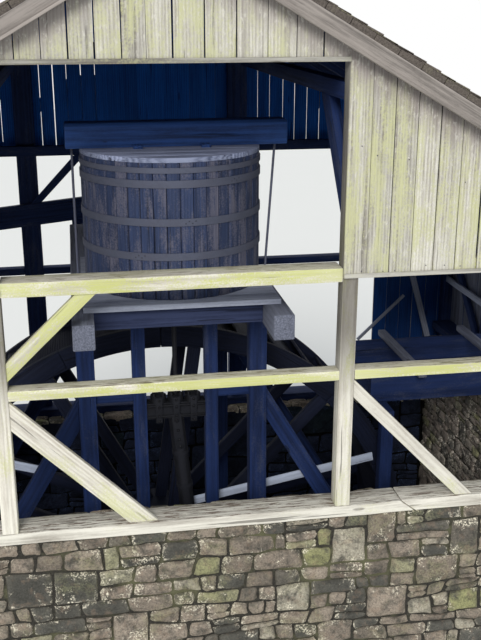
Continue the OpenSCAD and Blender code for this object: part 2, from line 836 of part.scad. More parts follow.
module tub_hoops() color("slategray") {
  for (level = [low_hoop_z, low_hoop_z + hoop_step, tub_h - high_hoop_drop]) hoop(level, hoop_h);
  hoop(tub_h - rim_hoop_drop, rim_hoop_h);
}

module tub_lid() color("midnightblue")
  translate([machine_x, machine_y, lid_z]) cylinder(r = tub_r, h = lid_t);

module lid_cleats() color("slategray")
  for (x = [machine_x - cleat_x, machine_x + cleat_x])
    bar([x - cleat_w / 2, machine_y - top_beam_d / 2 - cleat_d, lid_z + lid_t],
        [x + cleat_w / 2, machine_y - top_beam_d / 2, lid_z + lid_t + cleat_t]);

module top_beam() color("midnightblue")
  translate([machine_x + top_beam_shift - top_beam_w / 2, machine_y, lid_z + lid_t])
    rotate([90, 0, 90]) linear_extrude(top_beam_w) {
      half = top_beam_d / 2;
      wear = top_beam_wear;
      polygon([
        [-half, 0], [half, 0], [half, top_beam_h - wear], [half - wear, top_beam_h],
        [wear - half, top_beam_h], [-half, top_beam_h - wear]
      ]);
    }

module tie_rod(x, lean) {
  stop = lean == 0 ? 0 : seat_gap + tie_rod_d / 2 * sin(lean);
  translate([x, machine_y, bearer_top + stop]) rotate([0, lean, 0])
    cylinder(d = tie_rod_d, h = (lid_z + lid_t - bearer_top - 2 * stop) / cos(lean));
}

module tie_rods() color("black") {
  tie_rod(machine_x - tub_r - tie_rod_gap, 0);
  tie_rod(machine_x + tub_r + tie_rod_gap, tie_rod_lean);
}

// Piston rod with its crosshead and bosses
module piston_rod() color("dimgray")
  translate([machine_x, machine_y, sill_z + crosshead_z]) {
    half_span = (guide_gap - guide_w) / 2 - seat_gap;
    half_d = crosshead_d / 2;
    half_h = crosshead_h / 2;
    cylinder(d = piston_rod_d, h = bearer_top - sill_z - crosshead_z - cross_beam_h - seat_gap);
    bar([-half_span, -half_d, -half_h], [half_span, half_d, half_h]);
    for (x = [-boss_x, 0, boss_x]) translate([x, 0, 0]) cylinder(d = boss_d, h = half_h + boss_h);
  }

// Places its children along the connecting rod, at a distance from the crosshead
module along_rod(distance)
  translate([machine_x, machine_y, pitman_top]) rotate([0, 180 - pitman_lean, 0])
    translate([0, 0, distance]) children();

module connecting_rod() color("dimgray") {
  along_rod(pitman_start) cylinder(d = pitman_d, h = pitman_l - pitman_start);
  translate([pin_x, machine_y + big_end_w / 2, pin_z]) rotate([90, 0, 0]) cylinder(d = big_end_d, h = big_end_w);
  translate([pin_x, machine_y, pin_z]) rotate([-90, 0, 0]) cylinder(d = pin_d, h = crank_gap - pin_stop);
}

module rod_straps() color("black")
  for (i = [1 : strap_n]) along_rod(i * (pitman_l - big_end_d) / (strap_n + 1)) difference() {
    cylinder(d = pitman_d + 2 * strap_t, h = strap_h);
    translate([0, 0, -1]) cylinder(d = pitman_d + 2 * seat_gap, h = strap_h + 2);
  }

// Bearings

module bearing_block(y0)
  difference() {
    bar([hub_x - block_w / 2, y0, bench_h], [hub_x + block_w / 2, y0 + block_d, hub_z]);
    translate([hub_x, y0 - 1, hub_z]) rotate([-90, 0, 0])
      cylinder(d = journal_d + 2 * journal_gap, h = block_d + 2);
  }

module bearing_blocks() color("gray") {
  bearing_block(race_y0 - block_inset - block_d);
  bearing_block(race_y1 + block_inset);
}

// Flume

module flume() color("gray")
  difference() {
    bar([flume_x, wheel_y0 - flume_t, sill_z], [half_w, wheel_y1 + flume_t, sill_z + flume_z]);
    bar([flume_x - 1, wheel_y0, flume_floor], [half_w + 1, wheel_y1, sill_z + flume_z + 1]);
  }

module flume_ties() color("gray")
  for (x = [flume_x + flume_tie_x, flume_x + flume_tie_x + flume_tie_gap])
    bar([x, wheel_y0 - flume_t - flume_tie_over, sill_z + flume_z],
        [x + flume_tie_w, wheel_y1 + flume_t + flume_tie_over, sill_z + flume_z + flume_tie_h]);

module flume_trestle() color("gray") {
  x = flume_x + trestle_inset;
  near = race_y0 - trestle_w;
  for (y = [near, race_y1]) bar([x, y, bench_h], [x + trestle_w, y + trestle_w, sill_z - trestle_w]);
  bar([x, near, sill_z - trestle_w], [x + trestle_w, race_y1 + trestle_w, sill_z]);
}

// Water wheel

// Turns a drawing in the plane of the wheel upright, about the shaft, with its near face at y0
module on_wheel(y0, width)
  translate([hub_x, y0 + width, hub_z]) rotate([90, 0, 0]) children();

module wheel_ring(r_out, r_in, y0, y1)
  on_wheel(y0, y1 - y0) difference() {
    cylinder(r = r_out, h = y1 - y0);
    translate([0, 0, -1]) cylinder(r = r_in, h = y1 - y0 + 2);
  }

module wheel_shrouds() color("midnightblue") {
  wheel_ring(wheel_r, wheel_r - shroud_d, wheel_y0, wheel_y0 + shroud_t);
  wheel_ring(wheel_r, wheel_r - shroud_d, wheel_y1 - shroud_t, wheel_y1);
}

module wheel_sole() color("midnightblue")
  wheel_ring(sole_r, wheel_r - shroud_d, wheel_y0 + shroud_t, wheel_y1 - shroud_t);

// One elbow bucket of a floor board and a face board, with the wheel's centre at the origin
module bucket_outline() {
  elbow = sole_r + bucket_floor;
  lip = (wheel_r - lip_inset) * [cos(bucket_lap), sin(bucket_lap)];
  translate([sole_r, 0]) square([bucket_floor, bucket_t]);
  polygon([
    [elbow - bucket_t, bucket_t + seat_gap], [elbow, bucket_t + seat_gap],
    lip, lip - [bucket_t, 0]
  ]);
}

module wheel_buckets() color("midnightblue")
  on_wheel(wheel_y0 + shroud_t + seat_gap, wheel_w - 2 * (shroud_t + seat_gap))
    for (i = [0 : bucket_n - 1]) rotate(i * 360 / bucket_n)
      linear_extrude(wheel_w - 2 * (shroud_t + seat_gap)) bucket_outline();

module wheel_arms() color("midnightblue")
  for (y = [wheel_y0, wheel_y1 - shroud_t]) on_wheel(y, shroud_t)
    for (i = [0 : arm_n - 1]) rotate(arm_turn + i * 360 / arm_n)
      translate([shaft_w / 2 + seat_gap, -arm_w / 2, 0]) cube([arm_reach, arm_w, shroud_t]);

module shaft_part(diameter, y0, y1)
  on_wheel(y0, y1 - y0) cylinder(d = diameter, h = y1 - y0);

module wheel_shaft() color("midnightblue") {
  near_end = race_y0 + shaft_inset;
  far_end = race_y1 - shaft_inset;
  shaft_part(shaft_w, near_end, far_end);
  shaft_part(journal_d, crank_y, near_end);
  shaft_part(journal_d, far_end, race_y1 + 2 * block_inset + block_d);
}

module crank() color("black")
  on_wheel(crank_y, crank_t) rotate(crank_turn) difference() {
    union() {
      cylinder(d = crank_hub_d, h = crank_t);
      translate([crank_r, 0, 0]) cylinder(d = crank_eye_d, h = crank_t);
      translate([0, -crank_web_w / 2, 0]) cube([crank_r, crank_web_w, crank_t]);
    }
    translate([0, 0, -1]) cylinder(d = journal_d + 2 * journal_gap, h = crank_t + 2);
    translate([crank_r, 0, -1]) cylinder(d = pin_d + 2 * journal_gap, h = crank_t + 2);
  }

front_stone_wall();
rear_stone_wall();
left_stone_wall();
right_stone_wall();
bearing_walls();
front_sill();
side_sills();
rear_sill();
posts();
front_girt();
middle_rails();
wall_braces();
headers();
side_plates();
tie_beams();
slope_beam();
slope_beam_props();
gable_boards();
eave_boards();
drip_boards();
rear_gable_boards();
corner_boards();
rafters();
ridge_beam();
roof_left();
roof_right();
rake_boards();
tub_frame_legs();
tub_frame_braces();
tub_frame_sills();
tub_bearers();
tub_cross_beams();
platform();
tub_staves();
tub_hoops();
tub_lid();
lid_cleats();
top_beam();
tie_rods();
guide_posts();
guide_rails();
piston_rod();
connecting_rod();
rod_straps();
pit_planks();
bearing_blocks();
flume();
flume_ties();
flume_trestle();
wheel_shaft();
wheel_arms();
wheel_shrouds();
wheel_sole();
wheel_buckets();
crank();
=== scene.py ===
import math
import random

import bmesh
import bpy
from bpy.props import FloatProperty, FloatVectorProperty, IntProperty, PointerProperty
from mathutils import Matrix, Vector, noise


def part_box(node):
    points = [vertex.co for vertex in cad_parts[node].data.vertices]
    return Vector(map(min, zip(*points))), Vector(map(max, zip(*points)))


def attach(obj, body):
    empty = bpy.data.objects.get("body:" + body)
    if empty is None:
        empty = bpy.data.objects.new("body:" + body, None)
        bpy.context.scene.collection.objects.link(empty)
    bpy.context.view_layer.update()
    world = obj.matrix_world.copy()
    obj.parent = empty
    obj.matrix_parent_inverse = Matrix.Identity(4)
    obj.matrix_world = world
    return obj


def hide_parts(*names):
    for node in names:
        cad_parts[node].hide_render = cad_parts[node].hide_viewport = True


bl_info = {
    "name": "Water wheel house",
    "version": (1, 0, 0),
    "blender": (4, 5, 0),
    "location": "3D View > Sidebar > Wheel house",
    "description": "Finishes the water wheel, its blowing tub, wheelhouse and stone pit",
    "category": "Object",
}

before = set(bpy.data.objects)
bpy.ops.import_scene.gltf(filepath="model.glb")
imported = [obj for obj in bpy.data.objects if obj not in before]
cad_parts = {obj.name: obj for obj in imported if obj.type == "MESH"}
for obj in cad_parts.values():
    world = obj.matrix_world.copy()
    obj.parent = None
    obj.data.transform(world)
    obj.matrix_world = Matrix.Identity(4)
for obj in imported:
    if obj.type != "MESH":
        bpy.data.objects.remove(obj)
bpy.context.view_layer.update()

HOUSE, WHEEL = "wheelhouse", "wheel"
RIGHT, BACK, UP = Vector((1, 0, 0)), Vector((0, 1, 0)), Vector((0, 0, 1))

# Stone walls: outer and inner faces from the middle of the house, tops and arch from the pit floor, in metres
FACE_X, FACE_Y, INNER_X, INNER_Y = 4.775, 2.75, 4.275, 2.25
WALL_TOP, REAR_TOP, BENCH_TOP = 5.23, 4.23, 2.35
END_TOP_W, SIDE_TOP_X, SIDE_TOP_W = 0.21, -4.64, 0.365
TOP_SCALE, BENCH_SCALE = 0.9, 1.7
RACE_FRONT, RACE_REAR = -0.5, 1.1
ARCH_Y, ARCH_R, ARCH_SPRING, ARCH_STONES = 0.3, 0.65, 1.05, 11
ARCH_CLEAR, ARCH_RING = 0.02, 0.2

# Wheel shaft, tub with its hoops (height, width), and the crosshead with its irons and the rod's lean
HUB_X, HUB_Z = 0.06, 3.4
TUB_X, TUB_Y, TUB_R, TUB_Z, TUB_TOP = 0.125, -1.2, 0.885, 7.305, 8.6
STAVE_T, STAVE_EDGE, HOOP_T = 0.06, 0.006, 0.0085
HOOPS = ((0.42, 0.07), (0.745, 0.07), (1.10, 0.07), (1.225, 0.05))
CROSS_Y, CROSS_Z, ROD_LEAN = -1.2, 5.83, math.radians(5.44)
CLAMP_Y, CLAMP_T, CHEEK_Z = CROSS_Y - 0.082, 0.018, CROSS_Z - 0.09

# Frame, siding and roof; what lies before FRONT_LINE is in the front frame
PITCH = math.radians(30)
FRONT_LINE, SIDING_FRONT, BAY_EDGE, SCARF_X = -2.3, -2.778, 1.495, 2.235
REAR_BOARD, ROOF_BOARD, PLANK, LID_BOARD, NAIL_STEP = 0.18, 0.24, 0.215, 0.205, 0.206
LOW_NAILS, HIGH_NAILS, NAIL_RISE = 7.71, 7.7, 0.35
LOOSE_Y, LOOSE_BOARDS = 2.715, (((4.11, 6.25), (4.65, 4.42), 0.09), ((3.34, 5.06), (4.05, 5.74), 0.045))

# Angles over which a face's edge stays sharp, in degrees, and wear
WOOD_SMOOTH, STONE_SMOOTH, IRON_SMOOTH, STAVE_SMOOTH, SHAFT_SMOOTH = 22, 48, 50, 30, 35
SAWN_EDGE = 0.003
NOISE_SEED = 7
USUAL_WEAR = {"knots": 0.3, "streaks": 0.4}

# Studio
FLOOR_R, LAMP_WAY = 90, (-0.4, -1.3, 0.78)
CAMERA_PLACE, CAMERA_TURN = (-0.815, -10.75, 9.95), (71.9, 0, -9.8)

# Right, up and out of a face as one stands before it
FACING = {
    "front": ((1, 0, 0), (0, 0, 1), (0, -1, 0)),
    "rear": ((-1, 0, 0), (0, 0, 1), (0, 1, 0)),
    "left": ((0, -1, 0), (0, 0, 1), (-1, 0, 0)),
    "right": ((0, 1, 0), (0, 0, 1), (1, 0, 0)),
    "top": ((1, 0, 0), (0, 1, 0), (0, 0, 1)),
}

# Joints between the front gable's boards; slits between the rear gable's, and the strips nailed over them (x, z, z)
FRONT_CUTS = (-1.24, -1.03, -0.82, -0.61, -0.40, -0.20, 0.01, 0.27, 0.53, 0.79, 1.03, 1.26)
REAR_SLITS = (-1.75, -1.22, -1.04, -0.86, -0.67, -0.48, 1.58, 1.76, 1.93, 2.12, 2.29, 2.47, 2.65)
WIDE_SLIT = -1.04
SLIT_STRIPS = (
    (-1.75, 8.04, 8.19), (-1.75, 8.75, 9.4), (-1.22, 8.58, 8.77), (-0.86, 8.04, 9.01), (-0.67, 8.04, 9.06),
    (-0.48, 8.04, 9.06), (1.58, 8.04, 8.6), (1.93, 8.04, 8.4), (2.12, 8.04, 8.3), (2.65, 8.56, 9.0),
)


def linear(red, green, blue):
    """Colour as the eye reads it, 0 to 255, as the numbers a shader wants"""
    return tuple(round((c / 255) ** 2.2, 4) for c in (red, green, blue))


def length(name, text, default, low, high):
    return FloatProperty(name=name, description=text, default=default, min=low, max=high, unit="LENGTH", precision=3)


def amount(name, text, default, low, high):
    return FloatProperty(name=name, description=text, default=default, min=low, max=high)


def colour(name, text, *rgb):
    return FloatVectorProperty(
        name=name, description=text, default=linear(*rgb), size=3, min=0, max=1, subtype="COLOR")


class RubbleSettings(bpy.types.PropertyGroup):
    """Sizes and colours of the rubble stonework"""
    stone_w: length("Stone width", "Usual width of a wall stone", 0.27, 0.16, 0.6)
    stone_h: length("Stone height", "Usual height of a wall stone", 0.145, 0.09, 0.4)
    flume_wall_scale: amount("Flume wall stones", "Size of the stones of the wall beside the flume", 0.8, 0.5, 2)
    inner_scale: amount("Inner stones", "How much larger the stones inside the pit are", 1.4, 1, 2.5)
    joint: length("Joint", "Width of the open joint between stones", 0.017, 0.004, 0.05)
    recess: length("Joint depth", "Depth of the joint behind the stone faces", 0.03, 0.01, 0.08)
    brown: colour("Brown stone", "Main colour of the stones", 154, 142, 129)
    dark: colour("Dark stone", "Colour of the darkest stones", 90, 89, 84)
    pale: colour("Pale stone", "Colour of the palest stones and of the lime on them", 200, 193, 174)
    green: colour("Mossy stone", "Colour of the stones grown over with moss", 172, 172, 124)
    bed: colour("Joint colour", "Colour of the earth and mortar deep in the joints", 62, 60, 56)


class TimberSettings(bpy.types.PropertyGroup):
    """Sizes and colours of the squared timbers"""
    arris: length("Worn edge", "Width of the worn edge of a timber", 0.008, 0.002, 0.02)
    bow: length("Bow", "How far a timber strays from straight", 0.004, 0, 0.012)
    grey: colour("Weathered wood", "Colour of sound weathered wood", 232, 228, 216)
    grey_dark: colour("Weathered grain", "Colour of the grain lines in weathered wood", 156, 146, 134)
    lichen: colour("Lichen", "Yellow-green growth on the rails", 190, 193, 114)
    # Painted shade: this dark blue stands for the deep shade inside the house, painted into the wood under the roof
    inside: colour("Painted shade wood", "Colour of the old wood under the roof", 34, 52, 96)
    dusty: colour("Dusty wood", "Colour of the dusty platform planks and of the loose boards", 168, 174, 194)
    # Painted light: the planks' own pale colour with the blue of the sky on their tops painted in
    plank: colour("Pale planks", "Colour of the two new planks in the pit", 190, 200, 222)
    platform: colour("Platform wood", "Colour of the platform's beams and of the flume's ties", 112, 116, 132)
    # Painted shade: the grain colour of the same shade-darkened wood
    shaded_inside_grain: colour("Painted shade grain", "Colour of the grain lines under the roof", 20, 28, 50)


class BoardSettings(bpy.types.PropertyGroup):
    """Sizes and colours of the siding boards and shingles"""
    board_w: length("Board width", "Width of a siding board", 0.206, 0.12, 0.3)
    gap: length("Board gap", "Usual gap between two siding boards", 0.009, 0.001, 0.02)
    slit: length("Light slit", "Gap between the shrunken boards of the rear gable", 0.009, 0.002, 0.03)
    grey: colour("Board wood", "Colour of the siding boards", 212, 209, 199)
    grey_dark: colour("Board grain", "Colour of the grain and stains of the boards", 126, 118, 108)
    lichen: colour("Board lichen", "Growth on the siding boards", 190, 190, 144)
    shingle_w: length("Shingle width", "Usual width of a roof shingle", 0.13, 0.08, 0.25)
    shingle_step: length("Shingle course", "Length of each shingle that shows", 0.15, 0.08, 0.25)
    shingle: colour("Shingle wood", "Colour of the roof shingles", 104, 96, 90)
    rake: colour("Rake wood", "Colour of the boards along the roof's edges", 158, 150, 144)


class MachineSettings(bpy.types.PropertyGroup):
    """Sizes and colours of the tub, the ironwork and the wheel"""
    stave_n: IntProperty(name="Staves", description="Number of staves round the tub", default=44, min=36, max=52)
    stave_gap: length("Stave joint", "Width of the joint between staves", 0.004, 0.001, 0.01)
    tub: colour("Tub wood", "Colour of the tub's staves", 46, 58, 88)
    tub_dark: colour("Tub grain", "Colour of the grain and damp on the staves", 30, 38, 60)
    iron: colour("Iron", "Colour of the aged ironwork", 84, 88, 104)
    rust: colour("Rust", "Colour of the rust on the ironwork", 92, 80, 76)
    wet_wood: colour("Wheel wood", "Colour of the wheel's damp wood", 22, 29, 50)


class StudioSettings(bpy.types.PropertyGroup):
    """Floor, lamps and camera"""
    floor: colour("Floor", "Colour of the studio floor", 236, 236, 233)
    sky: amount("Soft light", "Strength of the light from all round", 0.66, 0, 2)
    sun: amount("Main light", "Strength of the main soft light", 2.2, 0, 6)
    lens: amount("Lens", "Focal length of the camera on a 36 mm frame", 54.1, 20, 120)


def put(tree, kind, inputs=None, **settings):
    """Adds a shader node; inputs are values or the sockets that feed them"""
    made = tree.nodes.new("ShaderNode" + kind)
    for key, value in settings.items():
        setattr(made, key, value)
    for key, value in (inputs or {}).items():
        if isinstance(value, bpy.types.NodeSocket):
            tree.links.new(value, made.inputs[key])
        else:
            made.inputs[key].default_value = value
    return made


def shade(rgb, factor=1.0):
    return (rgb[0] * factor, rgb[1] * factor, rgb[2] * factor, 1.0)


class Recipe:
    """The shader of one finish, laid on coat by coat; a value is a number or a socket"""

    def __init__(self, name):
        self.finish = bpy.data.materials.new(name)
        self.finish.use_nodes = True
        self.tree = self.finish.node_tree
        self.surface = self.tree.nodes["Principled BSDF"].inputs
        geometry = self.put("NewGeometry").outputs
        self.place, self.normal, self.edge = (geometry[key] for key in ("Position", "Normal", "Pointiness"))
        self.look = self.height = None

    def put(self, kind, inputs=None, **settings):
        return put(self.tree, kind, inputs, **settings)

    def read(self, name, output="Fac"):
        return self.put("Attribute", attribute_name=name).outputs[output]

    def axes(self, vector):
        return self.put("SeparateXYZ", {0: vector}).outputs

    def drawn(self, wide, long, vector):
        """A vector squeezed across and along its third axis"""
        return self.put("VectorMath", {0: vector, 1: (wide, wide, long)}, operation="MULTIPLY").outputs[0]

    def mottle(self, scale, detail=4.0, rough=0.55, warp=0.0, vector=None):
        values = {"Scale": scale, "Detail": detail, "Roughness": rough, "Distortion": warp}
        values["Vector"] = self.place if vector is None else vector
        return self.put("TexNoise", values).outputs[0]

    def maths(self, operation, first, second):
        return self.put("Math", {0: first, 1: second}, operation=operation).outputs[0]

    def times(self, first, second):
        return self.maths("MULTIPLY", first, second)

    def plus(self, first, second):
        return self.maths("ADD", first, second)

    def rest(self, value):
        return self.maths("SUBTRACT", 1.0, value)

    def weighted(self, *pairs):
        """Sum of sockets, each times its weight"""
        total = None
        for socket, weight in pairs:
            term = self.times(socket, weight)
            total = term if total is None else self.plus(total, term)
        return total

    def step(self, value, low, high):
        """0 below low, 1 above high, smooth between them"""
        values = {"Value": value, "From Min": low, "From Max": high}
        return self.put("MapRange", values, interpolation_type="SMOOTHSTEP").outputs[0]

    def ramp(self, value, low, high):
        """From low where the value is 0 to high where it is 1"""
        return self.put("MapRange", {"Value": value, "To Min": low, "To Max": high}).outputs[0]

    def mix(self, factor, first, second, how="MIX"):
        return self.put("Mix", {0: factor, 6: first, 7: second}, data_type="RGBA", blend_type=how).outputs[2]

    def coat(self, mask, share, tint):
        """Lays a colour over the look where the mask is, times a share"""
        self.look = self.mix(self.times(mask, share), self.look, tint)

    def lifted(self, mask, share):
        self.height = self.plus(self.height, self.times(mask, share))

    def done(self, rough, distance, strength, shine=0.5, metal=0.0):
        """Joins the look, the roughness and the relief to the surface"""
        bump = self.put("Bump", {"Height": self.height, "Distance": distance, "Strength": strength}).outputs[0]
        for name, socket in (("Base Color", self.look), ("Roughness", rough), ("Normal", bump)):
            self.tree.links.new(socket, self.surface[name])
        self.surface["Specular IOR Level"].default_value = shine
        self.surface["Metallic"].default_value = metal


def wood_finish(name, pale, dark, growth=None, cover=0.0, knots=0.0, streaks=0.0, damp=0.0, wear=0.35,
                contrast=1.0, flecks=0.0, topping=0.3, ends=0.85, eaves=False, shaded=None):
    """Aged wood whose grain follows each timber: fibres, rings, checks, knots, stains, growth and worn edges

    cover is how far the growth spreads, flecks and topping how brown and dark upward faces are, ends how dark
    sawn ends are, eaves a grey band of painted shade and stain under the roof's edge, and shaded a shadow as (from, to,
    depth) by height.
    """
    made = Recipe(name)
    grain = made.read("grain", "Vector")

    def fibres(wide, long, detail, rough=0.55, warp=0.0, vector=grain):
        return made.mottle(1.0, detail, rough, warp, made.drawn(wide, long, vector))

    x, _, z = made.axes(made.place)
    upward = made.step(made.axes(made.normal)[2], 0.4, 0.9)
    fibre = fibres(70, 2.6, 6.0, 0.65)
    soft_fibre = fibres(17, 0.8, 4.0, 0.6, 0.4)
    rings = made.put("TexWave", {
        "Vector": made.drawn(1, 0.11, grain), "Scale": 11.0, "Distortion": 2.6, "Detail": 3.0, "Detail Scale": 2.2,
        "Detail Roughness": 0.6,
    }, wave_type="RINGS", rings_direction="Z").outputs[1]
    blotch = made.mottle(1.7, 6.0, 0.62)
    speck = fibres(120, 30, 3.0, 0.7)
    value = made.weighted(
        (fibre, 0.5 * contrast), (soft_fibre, 0.5 * contrast), (rings, 0.2 * contrast), (blotch, 0.4), (speck, 0.25))
    usual = 0.6 * contrast + 0.325
    made.look = made.mix(made.step(value, usual - 0.42, usual + 0.22), shade(dark), shade(pale))
    made.look = made.mix(1.0, made.look, made.ramp(made.read("tone"), 0.80, 1.12), "MULTIPLY")
    split = made.step(fibres(34, 0.75, 3.0, 0.5, 0.15), 0.66, 0.70)
    made.coat(split, 0.72, shade(dark, 0.3))
    made.height = made.weighted((fibre, 1.0), (rings, 0.4), (split, -1.6), (speck, 0.4))
    if knots:
        spots = made.put("TexVoronoi", {"Vector": made.drawn(5.2, 1.35, grain), "Scale": 1.0}).outputs[0]
        knot = made.rest(made.step(spots, 0.07, 0.07 + 0.09 * knots))
        ringed = made.step(fibres(26, 9, 2.0), 0.3, 0.7)
        made.coat(knot, made.plus(made.times(ringed, 0.4), 0.5), shade(dark, 0.42))
        made.lifted(knot, 0.7)
    if streaks:
        made.coat(made.step(fibres(15, 0.5, 3.0, 0.6), 0.52, 0.68), streaks, shade(dark, 0.75))
    if flecks:
        flecked = fibres(46, 5, 5.0, 0.72, 0.3)
        worn_top = made.times(upward, flecks)
        made.coat(worn_top, topping, shade(dark))
        made.coat(made.step(flecked, 0.5, 0.6), worn_top, shade(linear(92, 74, 60)))
        made.lifted(flecked, -0.8 * flecks)
    if eaves:
        across = made.times(made.maths("ABSOLUTE", x, 0.0), math.tan(PITCH))
        under = made.weighted((z, 1.0), (across, 1.0), (blotch, 0.5), (soft_fibre, 0.6))
        # Painted shade: the grey band below the roof's edge is the overhang's shadow, with some staining
        eave_shade_and_stain = made.step(under, 10.6, 11.0)
        made.coat(eave_shade_and_stain, 0.72, shade(linear(128, 116, 116)))
        made.coat(made.step(made.mottle(95.0, 3.0, 0.7), 0.46, 0.62), 0.16, shade(dark, 1.1))
        bleached = made.step(fibres(30, 12, 5.0, 0.7, 0.4, made.place), 0.54, 0.66)
        made.coat(bleached, 0.45, shade(pale, 1.12))
    if growth:
        fine = made.mottle(60.0, 4.0, 0.72)
        patch = made.weighted((fibres(6, 1.3, 6.0, 0.66, 0.3), 0.9), (fine, 0.5))
        low = 0.72 - 0.24 * cover
        grown = made.times(made.step(patch, low + 0.05, low + 0.24), made.rest(made.times(upward, 0.75)))
        if eaves:
            grown = made.times(grown, made.rest(eave_shade_and_stain))
        grown = made.times(grown, made.plus(made.times(made.step(fibre, 0.3, 0.6), 0.35), 0.6))
        made.coat(grown, min(1.0, 0.3 + cover), shade(growth))
        made.lifted(fine, 0.5 * cover)
    if shaded:
        low, high, depth = shaded
        dimmed = made.mix(1.0, made.look, (0.3, 0.29, 0.29, 1.0), "MULTIPLY")
        made.coat(made.step(z, low, high), depth, dimmed)
    made.coat(made.step(made.edge, 0.52, 0.60), wear, shade(pale, 1.15))
    turn = made.put("TexGradient", {"Vector": grain}, gradient_type="RADIAL").outputs[1]
    spokes = made.mottle(1.0, 3.0, 0.6, 0.0, made.put("CombineXYZ", {0: made.times(turn, 24.0)}).outputs[0])
    end = made.mix(made.step(fibre, 0.3, 0.65), shade(dark, 1.1), shade(pale, 0.95))
    end = made.mix(made.step(rings, 0.55, 1.0), end, made.mix(0.3, end, shade(dark)))
    end = made.mix(made.times(made.step(spokes, 0.58, 0.66), 0.7), end, shade(dark, 0.5))
    made.coat(made.read("end_face"), ends, end)
    made.done(made.ramp(value, 0.95 - 0.45 * damp, 0.78 - 0.4 * damp), 0.006, 0.75, 0.25 + 0.25 * damp)


def stone_finish(name, kit, lift=(1.0, 1.0, 1.0)):
    """Rubble: each stone its own colour, with grain, lime bloom, moss and dark weathering; lift dims and tints every
    colour, which paints shade into the pit's copies
    """
    def lit(rgb, factor=1.0):
        return tuple(c * factor * part for c, part in zip(rgb, lift)) + (1.0,)

    made = Recipe(name)
    pick = made.put("ValToRGB", {0: made.read("tone")})
    stops = pick.color_ramp.elements
    stops[0].color, stops[1].color = lit(kit.dark, 0.8), lit(kit.green)
    for at, tint, factor in (
            (0.14, kit.dark, 1.2), (0.22, kit.brown, 0.72), (0.5, kit.brown, 1.0), (0.78, kit.brown, 1.22),
            (0.90, kit.pale, 0.85), (0.96, kit.green, 0.75)):
        stops.new(at).color = lit(tint, factor)
    coarse = made.mottle(6.5, 8.0, 0.68, 0.3)
    fine = made.mottle(55.0, 5.0, 0.7)
    grit = made.mottle(210.0, 2.0, 0.6)
    stain = made.mottle(11.0, 5.0, 0.6)
    veins = made.mottle(24.0, 6.0, 0.72, 1.2)
    made.look = made.mix(made.step(coarse, 0.30, 0.58), lit(kit.dark, 0.7), pick.outputs[0])
    speckled = made.mix(made.step(fine, 0.33, 0.66), (0.42, 0.41, 0.40, 1), (1.25, 1.24, 1.22, 1))
    made.look = made.mix(0.6, made.look, speckled, "MULTIPLY")
    made.coat(made.step(stain, 0.52, 0.66), 0.3, lit((0.30, 0.21, 0.15)))
    made.coat(made.step(veins, 0.53, 0.60), 0.45, lit(kit.dark, 0.5))
    edge = made.step(made.edge, 0.51, 0.60)
    lime = made.weighted((made.mottle(3.1, 9.0, 0.76, 0.8), 1.0), (edge, 0.10))
    made.coat(made.times(made.step(lime, 0.57, 0.64), made.step(fine, 0.47, 0.60)), 0.95, lit(kit.pale, 1.7))
    moss = made.step(made.mottle(1.9, 7.0, 0.7, 0.4), 0.50, 0.66)
    made.coat(made.times(moss, made.step(fine, 0.34, 0.62)), 0.4, lit(kit.green, 0.8))
    made.coat(edge, 0.12, lit(kit.pale, 0.9))
    made.height = made.weighted((coarse, 1.6), (fine, 1.0), (grit, 0.35), (stain, 0.9), (veins, -0.8))
    made.done(made.ramp(coarse, 0.98, 0.82), 0.016, 0.9, 0.22)


def joint_finish(name, kit, depth=1.0):
    """Earth and crumbled mortar deep in the joints; depth dims every colour, which paints shade into the pit's copy"""
    made = Recipe(name)
    made.height = made.mottle(46.0, 7.0, 0.72)
    damp = made.mottle(2.4, 5.0, 0.6)
    crumb = made.step(made.height, 0.35, 0.7)
    made.look = made.mix(crumb, shade(kit.bed, 0.62 * depth), shade(kit.bed, 1.5 * depth))
    made.coat(made.step(damp, 0.45, 0.65), 1.0, made.mix(0.22, made.look, shade(kit.green, depth)))
    made.done(made.ramp(damp, 1.0, 0.86), 0.02, 0.9, 0.15)


def iron_finish(name, kit, rusty, depth=1.0):
    """Forged iron, dull and rusting, rubbed brighter on its edges"""
    made = Recipe(name)
    scale = made.mottle(26.0, 7.0, 0.7, 0.4)
    pits = made.mottle(150.0, 3.0, 0.6)
    broad = made.mottle(4.2, 4.0, 0.6)
    made.look = made.mix(made.step(scale, 0.35, 0.66), shade(kit.iron, 0.55 * depth), shade(kit.iron, 1.12 * depth))
    rust = made.times(made.step(made.plus(scale, broad), 0.9, 1.15), rusty)
    made.coat(rust, 1.0, shade(kit.rust, depth))
    made.coat(made.step(made.edge, 0.52, 0.6), 0.5, shade(kit.iron, 1.9 * depth))
    made.height = made.plus(scale, made.times(pits, 0.4))
    made.done(made.ramp(made.plus(rust, scale), 0.48, 0.9), 0.004, 0.7, metal=0.55)


